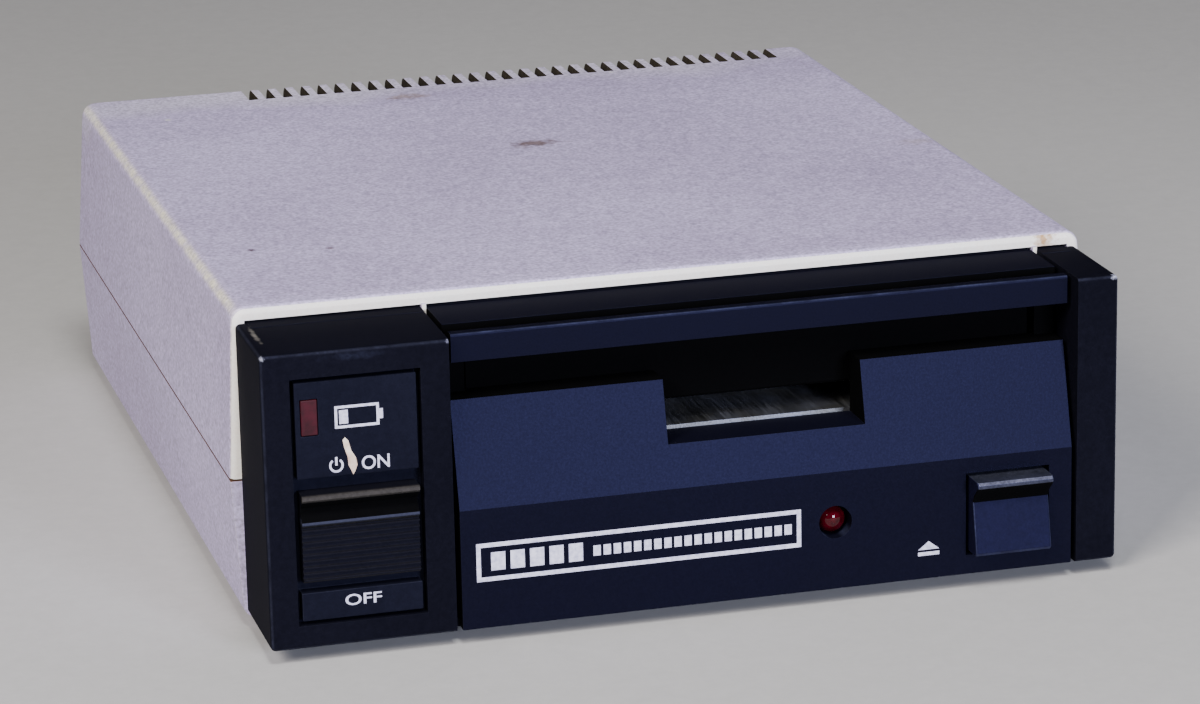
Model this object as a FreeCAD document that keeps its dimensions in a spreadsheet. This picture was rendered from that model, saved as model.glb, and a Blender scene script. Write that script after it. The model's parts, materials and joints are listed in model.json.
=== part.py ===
import FreeCAD, Part
import os
import re
import Sketcher
from FreeCAD import Placement, Rotation, Vector

# An external drive for 3.5-inch disks, in millimetres.
#
# Every piece is drawn in the front panel's own coordinates: x runs to the right from the middle of
# the panel, y runs back from the black front face, and z runs up from the front frame's lower edge.
# One offset then sets each piece on the part's origin, which is the middle of the whole drive, on
# the surface that its feet stand on.

doc = FreeCAD.newDocument("disk_drive")
sheet = doc.addObject("Spreadsheet::Sheet", "Sizes")

SIZES = [
    # the black front frame, which stands ahead of the case
    ("frame_proud", "19.2", "front face ahead of the case"),
    ("frame_wall", "2.4", "wall of the front frame"),
    ("frame_edge", "0.8", "rounding of the frame's outer edges"),
    ("frame_spigot", "5.0", "length of the spigot inside the case"),
    ("spigot_gap", "0.3", "clearance of the spigot inside the case"),
    ("left_block", "29.7", "width of the frame's left block"),
    ("right_pillar", "6.9", "width of the frame's right pillar"),
    ("bay_gap", "0.9", "gap between drive bay and faceplate, each side"),
    ("floor_sheet", "1.2", "floor of the front frame under the faceplate"),
    ("floor_gap", "0.2", "frame's floor behind the faceplate's wall"),
    ("pillar_wall", "1.68", "inner wall of the right pillar"),
    ("spigot_root", "3.0", "root of the spigot inside the frame"),
    # the beige case: a lid that flares out downwards, and a tray that tapers in again
    ("lid_step", "2.5", "top of the lid above the frame"),
    ("lid_flare", "0.6", "lid beyond the frame at its top, each side"),
    ("split_flare", "1.85", "case beyond the frame at the split line, each side"),
    ("tray_flare", "0.5", "tray beyond the frame at the underside, each side"),
    ("case_split", "22.5", "height of the split line"),
    ("split_gap", "0.3", "reveal between lid and tray"),
    ("case_under", "0.6", "underside of the tray below the frame's lower edge"),
    ("rear_room", "37.7", "room for stepper motor and sockets behind the deck"),
    ("lid_lean", "5.1", "how far the lid's rear leans forward at the top"),
    ("tray_lean", "0.7", "how far the tray's rear leans forward at the underside"),
    ("case_wall", "2.1", "wall of lid and tray"),
    ("case_edge", "2.4", "rounding of the lid's upper edges"),
    ("case_corner", "3.0", "rounding of the upright rear corners"),
    ("case_lip_edge", "1.2", "rounding of the lid's front edge"),
    ("tray_edge", "1.8", "rounding of the tray's lower edges"),
    ("vent_count", "32", "vent slots across the rear edge"),
    ("vent_width", "1.8", "width of a vent slot"),
    ("vent_run", "9.5", "length of a vent slot over the top"),
    ("vent_drop", "12.0", "length of a vent slot down the rear"),
    ("nub_width", "0.7", "width of the lid's locating nubs beside the faceplate"),
    ("nub_drop", "1.6", "drop of the lid's locating nubs"),
    ("nub_reach", "0.8", "reach of the locating nubs ahead of the lid"),
    ("nub_depth", "2.3", "whole length of the locating nubs"),
    ("nub_gap", "0.2", "clearance of the nubs in the spigot's slots"),
    # the label insert and the power switch in the left block
    ("insert_inset", "4.5", "insert's opening in from the frame's left side"),
    ("insert_edge", "4.6", "insert's opening in from the bay"),
    ("insert_low", "3.8", "foot of the insert's opening"),
    ("insert_drop", "4.1", "head of the insert's opening below the frame's top"),
    ("insert_reveal", "0.7", "groove around the insert"),
    ("insert_flange", "1.0", "thickness and overlap of the insert's flange"),
    ("insert_set_back", "0.15", "insert behind the front face"),
    ("off_field_high", "9.1", "top of the OFF field"),
    ("lens_inset", "1.6", "red window in from the side of the insert's opening"),
    ("lens_drop", "9.2", "foot of the red window below the head of the insert's opening"),
    ("lens_width", "2.6", "width of the red window"),
    ("lens_tall", "5.7", "height of the red window"),
    ("lens_depth", "13.0", "length of the window's light pipe"),
    ("lens_gap", "0.1", "clearance of the red window"),
    ("lens_set_back", "0.05", "red window behind the front face"),
    ("low_lamp_inset", "0.4", "low-battery lamp in from its window's ends"),
    ("knob_rest", "1.7", "power knob above the OFF field at OFF"),
    ("knob_tall", "14.5", "height of the power knob"),
    ("knob_side_gap", "0.3", "clearance beside and behind the power knob"),
    ("knob_travel", "2.0", "travel of the power knob from OFF to ON"),
    ("knob_end_gap", "0.3", "clearance over the power knob at ON"),
    ("knob_ridge", "1.5", "ridge of the power knob ahead of the face"),
    ("knob_rib_count", "9", "ribs on the power knob"),
    ("knob_rib_pitch", "1.0", "spacing of the ribs"),
    ("knob_stem_half", "2.4", "half width of the knob's stem"),
    ("stem_tall", "4.0", "height of the knob's stem"),
    ("stem_rise", "5.0", "knob's stem above the knob's foot"),
    ("stem_gap", "0.6", "clearance beside the knob's stem"),
    ("stem_room", "1.0", "clearance over and under the knob's stem"),
    ("lever_half", "1.0", "half width of the switch lever"),
    ("lever_tall", "1.9", "height of the switch lever"),
    ("lever_front", "4.2", "tip of the switch lever behind the front face"),
    ("lever_root", "1.2", "switch lever inside its switch"),
    ("lever_gap", "0.1", "clearance beside the switch lever in the knob's fork"),
    ("fork_gap", "0.05", "clearance over and under the lever in the knob's fork"),
    ("lever_room", "0.2", "clearance beside the lever in its switch"),
    ("track_gap", "0.4", "clearance behind the lever in its switch"),
    ("track_room", "0.25", "clearance over and under the lever in its switch"),
    ("switch_front", "8.0", "front of the slide switch behind the front face"),
    ("switch_half", "4.0", "half width of the slide switch"),
    ("switch_tall", "18.0", "height of the slide switch"),
    ("switch_drop", "1.0", "foot of the slide switch below the knob's foot"),
    ("switch_board_depth", "16.0", "face of the switch board behind the front face"),
    ("rail_width", "3.6", "width of the rails under the switch board"),
    ("rail_depth", "6.0", "depth of the rails"),
    ("rail_low", "8.0", "foot of the rails"),
    ("switch_board_gap", "0.4", "clearance beside the switch board"),
    ("switch_board_lap", "2.0", "switch board beyond its rails"),
    ("switch_screw_inset", "2.4", "switch board's screws in from the sides"),
    ("switch_screw_rise", "4.0", "switch board's screws in from the rails' ends"),
    ("switch_screw_long", "5.0", "length of the switch board's screws in the rails"),
    ("rail_margin", "3.8", "head of the rails below the head of the insert's opening"),
    ("board_sheet", "1.6", "thickness of the circuit boards"),
    # the drive's own faceplate
    ("plate_overlap", "0.2", "faceplate beyond the chassis, each side"),
    ("plate_lift", "0.2", "faceplate above the frame's lower edge"),
    ("crease_tall", "19.85", "height of the crease between flat and slope"),
    ("slope_rise", "3.1", "top of the slope above the underside of a seated disk"),
    ("slope_back", "4.4", "top of the slope behind the front face"),
    ("plate_depth", "9.6", "depth of the faceplate's lower half"),
    ("plate_wall", "2.4", "wall of the faceplate"),
    ("plate_foot", "1.4", "foot of the faceplate's lower half, over the frame's floor"),
    ("slot_tall", "6.6", "height of the disk slot between slope and upper bar"),
    ("bar_tall", "4.6", "height of the upper bar"),
    ("bar_front", "2.6", "front of the upper bar behind the front face"),
    ("bar_sheet", "1.7", "thickness of the upper bar and its web"),
    ("bar_edge", "0.5", "rounding of the upper bar's front edge"),
    ("shelf_sheet", "1.6", "thickness of the shelf behind the groove"),
    ("pocket_low", "2.8", "foot of the hollows in the faceplate"),
    ("rib_front", "8.6", "front of the faceplate's end ribs"),
    ("groove_back", "8.3", "back of the groove behind the upper bar"),
    ("rib_back", "13.5", "back of the faceplate's end ribs"),
    ("rib_width", "3.4", "width of the faceplate's end ribs"),
    ("notch_width", "32.7", "width of the finger notch"),
    ("notch_deep", "10.0", "depth of the finger notch"),
    ("lamp_offset", "10.7", "activity lamp right of the bay's middle"),
    ("lamp_tall", "11.4", "activity lamp above the frame's lower edge"),
    ("lamp_hole_radius", "2.75", "radius of the lamp's recess"),
    ("lamp_radius", "2.4", "radius of the activity lamp"),
    ("lamp_inset", "0.6", "back of the lamp ahead of the faceplate's back"),
    ("lamp_set_back", "0.7", "tip of the lamp behind the front face"),
    ("lamp_boss_wall", "1.3", "wall of the boss round the lamp"),
    ("lamp_board_half", "5.6", "half width and height of the lamp's board"),
    ("lamp_dome", "2.2", "height of the lamp's dome"),
    ("lamp_flange", "1.0", "thickness of the lamp's flange"),
    ("lamp_gap", "0.02", "clearance of the lamp's flange in its boss"),
    # the eject button
    ("button_inset", "4.5", "eject button in from the faceplate's right end"),
    ("button_width", "12.9", "width of the eject button"),
    ("button_low", "4.0", "foot of the eject button"),
    ("button_tall", "12.6", "height of the eject button"),
    ("button_gap", "0.65", "clearance around the eject button"),
    ("button_proud", "4.0", "finger ridge of the button ahead of the face"),
    ("button_edge", "0.35", "rounding of the eject button's sides"),
    ("button_travel", "3.8", "travel of the eject button and lift of the cradle"),
    ("button_flange", "1.2", "thickness of the button's retaining flange"),
    ("button_catch", "0.95", "overhang of the button's retaining flange"),
    ("stem_inset", "5.0", "button's stem in from its left side"),
    ("stem_margin", "1.0", "button's stem in from its right side"),
    ("flange_gap", "0.1", "clearance of the button's flange behind the wall"),
    # the dust flap
    ("flap_side_gap", "0.6", "clearance beside the dust flap, each side"),
    ("flap_lap", "5.2", "dust flap below the top of the slope"),
    ("flap_sheet", "1.1", "thickness of the dust flap"),
    ("flap_front", "10.2", "front of the dust flap behind the front face"),
    ("flap_chamfer", "0.4", "chamfer of the dust flap's lower edge"),
    ("flap_pin_drop", "3.3", "flap's pin below the frame's top"),
    ("flap_pin_radius", "0.6", "radius of the flap's pin"),
    ("flap_pin_inset", "0.8", "ends of the flap's pin in from the faceplate's ends"),
    ("flap_barrel_radius", "1.25", "radius of the flap's barrel"),
    ("flap_spring_radius", "0.95", "mean radius of the flap's spring"),
    ("flap_spring_wire", "0.2", "wire radius of the flap's spring"),
    ("flap_spring_pitch", "0.44", "spacing of the flap spring's turns"),
    ("flap_spring_turns", "6.75", "turns of the flap's spring"),
    ("flap_spring_leg", "7.0", "leg of the flap's spring"),
    ("flap_spring_room", "3.0", "half width of the gap that the spring sits in"),
    ("running_gap", "0.06", "radial clearance of pins and shafts that turn or slide"),
    # the disk, and the cradle that carries it
    ("disk_width", "90.0", "width of a disk"),
    ("disk_length", "94.0", "length of a disk"),
    ("disk_front", "12.0", "near edge of a seated disk behind the front face"),
    ("disk_rise", "6.3", "underside of a seated disk above the deck"),
    ("disk_lip_gap", "0.2", "seated disk above the cradle's lips"),
    ("hub_from_edge", "40.0", "hub centre ahead of the disk's far edge"),
    ("cradle_inside", "3.8", "clear height inside the cradle"),
    ("cradle_side_gap", "0.3", "clearance beside the disk, each side"),
    ("cradle_front", "25.6", "front of the cradle behind the front face"),
    ("cradle_lip", "6.0", "width of the cradle's lower lips"),
    ("stop_gap", "0.4", "cradle's stops behind the disk"),
    ("stop_near", "28.0", "near side of the stops from the bay's middle"),
    ("stop_far", "40.0", "far side of the stops from the bay's middle"),
    ("steel_sheet", "0.8", "sheet of the cradle"),
    ("pin_radius", "1.3", "radius of the cradle's pins"),
    ("pin_front", "40.0", "front cradle pins behind the front face"),
    ("pin_rear_inset", "11.0", "rear cradle pins ahead of the disk's far edge"),
    ("pin_end_gap", "0.2", "cradle pins short of the chassis's outer face"),
    ("head_window", "22.0", "width of the windows for the heads"),
    ("window_start", "8.0", "front of the head windows behind the spindle"),
    ("hub_room", "4.0", "clearance of the hub's hole in the cradle"),
    # the eject plate
    ("slide_side_gap", "1.3", "clearance between cradle and eject plate, each side"),
    ("slide_sheet", "1.0", "sheet of the eject plate"),
    ("slide_skirt", "3.6", "eject plate's flanges below the underside of a seated disk"),
    ("slide_roof_gap", "0.6", "clearance over the raised cradle"),
    ("slide_front", "28.0", "front of the eject plate behind the front face"),
    ("slide_tail", "2.0", "eject plate beyond the disk"),
    ("lug_front", "17.0", "front of the button's lug on the eject plate"),
    ("lug_low", "7.5", "foot of the button's lug"),
    ("lug_tall", "5.0", "height of the button's lug"),
    ("lug_overlap", "8.0", "overlap of the lug's arm and the flange"),
    ("lug_room", "1.0", "clearance of the lug's arm in the deck"),
    ("slot_end_gap", "0.4", "clearance at the ends of the slots round the pins"),
    ("hollow_near", "18.0", "near side of the eject plate's openings from the bay's middle"),
    ("hollow_far", "38.0", "far side of the eject plate's openings"),
    ("hollow_front", "12.0", "openings behind the eject plate's front"),
    ("hollow_rear", "22.0", "openings ahead of the eject plate's rear"),
    ("eject_spring_radius", "1.8", "mean radius of the eject spring"),
    ("eject_spring_wire", "0.3", "wire radius of the eject spring"),
    ("eject_spring_length", "13.0", "length of the eject spring at rest"),
    ("eject_spring_turns", "9", "turns of the eject spring"),
    ("spring_tab_width", "6.5", "width of the chassis tab behind the eject spring"),
    ("spring_side_gap", "1.2", "tab in from the side of the button's stem"),
    # the drive's chassis
    ("chassis_side_gap", "1.0", "clearance between eject plate and chassis, each side"),
    ("chassis_sheet", "1.2", "sheet of the chassis"),
    ("deck_tail", "10.6", "deck behind the pressure arm's hinge"),
    ("deck_gap", "0.1", "deck behind the faceplate"),
    ("side_tail", "14.0", "chassis sides behind the deck"),
    ("tongue_gap", "0.8", "deck's tongue in from the faceplate's ribs"),
    ("rear_wall_gap", "2.0", "rear wall above the chassis's foot"),
    ("rear_wall_rise", "8.0", "rear wall above the deck"),
    ("window_side", "4.0", "carriage window beyond the guide rods"),
    ("window_margin", "4.0", "carriage window ahead of the deck's rear"),
    ("screw_room", "1.0", "clearance of the lead screw in the rear wall"),
    ("chassis_low", "8.0", "foot of the chassis"),
    ("chassis_foot", "6.6", "width of the chassis's feet"),
    ("chassis_foot_half", "6.0", "half length of the chassis's feet"),
    ("post_front", "48.0", "front chassis screws behind the front face"),
    ("post_inset", "10.0", "rear chassis screws ahead of the deck's rear"),
    ("post_radius", "2.9", "radius of posts and bosses in the case"),
    ("case_post_radius", "3.7", "radius of the posts round the case screws"),
    # spindle, belt and motor
    ("hub_radius", "12.0", "radius of the spindle hub"),
    ("hub_sheet", "1.6", "thickness of the spindle hub"),
    ("hub_chamfer", "0.5", "chamfer of the spindle hub"),
    ("hub_gap", "0.3", "spindle hub below a seated disk"),
    ("shaft_radius", "2.0", "radius of the spindle shaft"),
    ("shaft_tip", "1.5", "spindle shaft above its hub"),
    ("bearing_radius", "5.0", "radius of the spindle bearing in the deck"),
    ("bearing_flange", "8.0", "radius of the spindle bearing's flange"),
    ("bearing_drop", "6.0", "spindle bearing below the deck"),
    ("spindle_pulley_radius", "16.0", "radius of the spindle pulley under the belt"),
    ("motor_pulley_radius", "4.0", "radius of the motor pulley under the belt"),
    ("pulley_rise", "4.4", "both pulleys above the main board"),
    ("pulley_tall", "3.4", "height of both pulleys"),
    ("pulley_rim", "1.2", "height of the pulleys' rims"),
    ("pulley_rim_sheet", "0.4", "thickness of the pulleys' rims"),
    ("belt_gap", "0.3", "clearance under the belt"),
    ("belt_sheet", "0.7", "thickness of the belt"),
    ("belt_width", "2.2", "width of the belt"),
    ("motor_front", "29.5", "motor shaft behind the front face"),
    ("motor_radius", "11.5", "radius of the motor"),
    ("motor_tall", "11.5", "height of the motor"),
    ("motor_gap", "1.4", "motor above its pulley"),
    ("motor_collar", "2.5", "radius of the motor's collar"),
    ("collar_tall", "0.8", "height of the motor's collar and of its chamfer"),
    ("shaft_end_gap", "1.0", "motor shaft below the deck"),
    ("motor_shaft_radius", "1.0", "radius of the motor shaft"),
    # head carriage
    ("track_radius", "39.4", "outermost track from the disk's hub"),
    ("head_travel", "15.0", "travel of the head carriage"),
    ("head_half", "3.0", "half width of the head"),
    ("head_gap", "0.3", "head below a seated disk"),
    ("carriage_nose", "8.0", "carriage ahead of the head"),
    ("carriage_tail", "5.0", "carriage behind the arm's hinge"),
    ("carriage_half_tall", "2.8", "half height of the carriage"),
    ("rod_wall", "2.5", "carriage beyond the middle of its guide rods"),
    ("tower_half", "5.0", "half width of the carriage's tower"),
    ("tower_drop", "2.6", "carriage's tower below a seated disk"),
    ("cheek_inner", "6.2", "inside of the carriage's cheeks from the bay's middle"),
    ("cheek_outer", "8.5", "outside of the carriage's cheeks from the bay's middle"),
    ("cheek_front", "3.0", "carriage's cheeks ahead of the arm's hinge"),
    ("cheek_rise", "1.6", "carriage's cheeks above the arm's hinge"),
    ("arm_nose", "4.0", "pressure arm ahead of the head"),
    ("arm_tail", "1.8", "pressure arm behind its hinge"),
    ("screw_radius", "1.5", "radius of the lead screw"),
    ("screw_drop", "3.8", "lead screw and guide rods below the deck's top"),
    ("rod_radius", "1.5", "radius of the guide rods"),
    ("rod_half", "11.0", "guide rods from the bay's middle"),
    ("bracket_sheet", "1.5", "sheet of the front bracket"),
    ("bracket_margin", "3.0", "front bracket beyond the guide rods"),
    ("bracket_drop", "3.5", "front bracket below the lead screw"),
    ("bracket_gap", "0.9", "carriage short of the front bracket at the innermost track"),
    ("arm_hinge", "20.0", "hinge of the pressure arm behind the head"),
    ("arm_rise", "5.4", "pressure arm above the underside of a seated disk"),
    ("arm_sheet", "2.0", "thickness of the pressure arm"),
    ("arm_half", "5.9", "half width of the pressure arm"),
    ("arm_pad_radius", "2.2", "radius of the pressure arm's pad"),
    ("arm_pad_gap", "3.6", "pressure pad above the underside of a seated disk"),
    ("arm_pin_radius", "0.8", "radius of the arm's hinge pin"),
    ("stepper_radius", "9.0", "radius of the stepper motor"),
    ("stepper_long", "13.5", "length of the stepper motor"),
    ("stepper_flange_half", "14.0", "half width of the stepper motor's flange"),
    ("stepper_flange_low", "5.0", "half height of the stepper motor's flange"),
    ("stepper_flange_sheet", "1.2", "thickness of the stepper motor's flange"),
    ("screw_end", "3.0", "lead screw inside the stepper motor"),
    # electronics
    ("main_board_gap", "8.6", "main board in from the chassis's sides"),
    ("main_board_front", "46.0", "front of the main board behind the front face"),
    ("main_board_inset", "7.7", "rear of the main board ahead of the case's rear"),
    ("main_board_low", "3.8", "underside of the main board"),
    ("board_screw_inset", "4.0", "board screws in from the main board's edges"),
    ("chip_tall", "2.6", "height of the chips"),
    ("board_grid", "1.0", "grid that the main board's parts stand on"),
    ("jack_inset", "13.4", "power jack in from the main board's right edge"),
    ("jack_bore_radius", "1.8", "radius of the power jack's bore"),
    ("jack_bore_long", "12.0", "length of the power jack's bore"),
    ("jack_collar_radius", "3.2", "radius of the power jack's collar"),
    ("jack_collar_long", "2.3", "length of the power jack's collar"),
    ("collar_gap", "0.3", "clearance of the jack's collar in the tray"),
    ("jack_body", "10.5", "width and height of the power jack"),
    ("socket_depth", "12.0", "depth of the power jack and the data connector"),
    ("port_offset", "13.4", "data connector left of the bay's middle"),
    ("port_width", "26.0", "width of the data connector"),
    ("port_tall", "9.0", "height of the data connector"),
    ("port_wall", "1.1", "wall of the data connector"),
    ("port_deep", "9.0", "depth of the data connector's mouth"),
    ("port_pin_count", "8", "pins in the data connector"),
    ("port_pin_pitch", "2.54", "spacing of the pins"),
    ("port_pin_half", "0.32", "half width of a pin"),
    ("port_pin_long", "4.3", "length of the pins"),
    ("rear_gap", "0.4", "clearance of jack and connector in the rear wall"),
    # batteries
    ("cell_radius", "7.1", "radius of a battery cell"),
    ("cell_long", "49.5", "length of a battery cell without its stud"),
    ("stud_radius", "2.7", "radius of a cell's stud"),
    ("stud_long", "1.1", "length of a cell's stud"),
    ("cell_row_inset", "14.5", "row of cells in from the frame's left side"),
    ("contact_long", "2.6", "length of a contact spring"),
    ("contact_radius", "3.2", "radius of a contact spring"),
    ("contact_half", "4.5", "half width of a contact plate"),
    ("contact_sheet", "0.5", "sheet of a contact plate"),
    ("holder_gap", "3.3", "battery holder behind the front case posts"),
    ("holder_wall", "1.2", "wall of the battery holder"),
    ("cell_gap", "0.3", "clearance around the cells"),
    ("cell_seat", "0.2", "cells above the tray's floor"),
    ("door_half", "11.0", "half width of the battery door"),
    ("door_margin", "2.0", "battery door beyond the holder, at each end"),
    ("door_sheet", "1.3", "thickness of the battery door"),
    ("door_tongue", "0.9", "reach of the battery door's side tongues"),
    ("door_tongue_low", "0.7", "underside of the tongues above the door's underside"),
    ("door_gap", "0.15", "clearance beside the battery door"),
    ("door_slide_gap", "0.1", "clearance over and under the door's tongues"),
    ("door_travel", "6.0", "travel of the battery door"),
    ("grip_count", "5", "finger grips on the battery door"),
    ("grip_pitch", "2.0", "spacing of the finger grips"),
    ("grip_width", "0.8", "width of a finger grip"),
    ("grip_proud", "0.5", "height of a finger grip"),
    # feet and screws
    ("foot_radius", "5.0", "radius of a rubber foot"),
    ("foot_drop", "2.0", "height of a rubber foot"),
    ("foot_side_inset", "16.0", "feet in from the frame's sides"),
    ("foot_front", "27.0", "front feet behind the front face"),
    ("rear_inset", "9.7", "rear feet and screws ahead of the case's rear"),
    ("boss_side_inset", "4.2", "case screws in from the frame's sides"),
    ("boss_gap", "1.1", "front case posts behind the spigot"),
    ("case_screw_radius", "1.5", "radius of the case screws"),
    ("case_screw_gap", "0.2", "clearance of the case screws in the tray"),
    ("case_screw_head", "2.4", "head radius of the case screws"),
    ("case_screw_bite", "9.0", "case screws above the split line"),
    ("boss_bore_long", "14.0", "depth of the bores for the case screws in the lid"),
    ("head_seat_gap", "0.3", "clearance round the case screws' heads"),
    ("head_seat_sheet", "1.0", "head seats above the tray's floor"),
    ("small_screw_radius", "1.0", "radius of the small screws"),
    ("small_screw_head", "2.0", "head radius of the small screws"),
    ("screw_head_tall", "1.2", "height of every screw's head"),
    ("screw_inset", "3.4", "chassis screws in from the chassis's sides"),
    ("screw_tip_gap", "1.0", "tips of the chassis screws above the tray's floor"),
    # allowances of the drawing itself
    ("weld", "0.2", "overlap of two solids that are joined into one"),
    ("past", "1.0", "length of a cut beyond the surface that it opens"),
]

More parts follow.
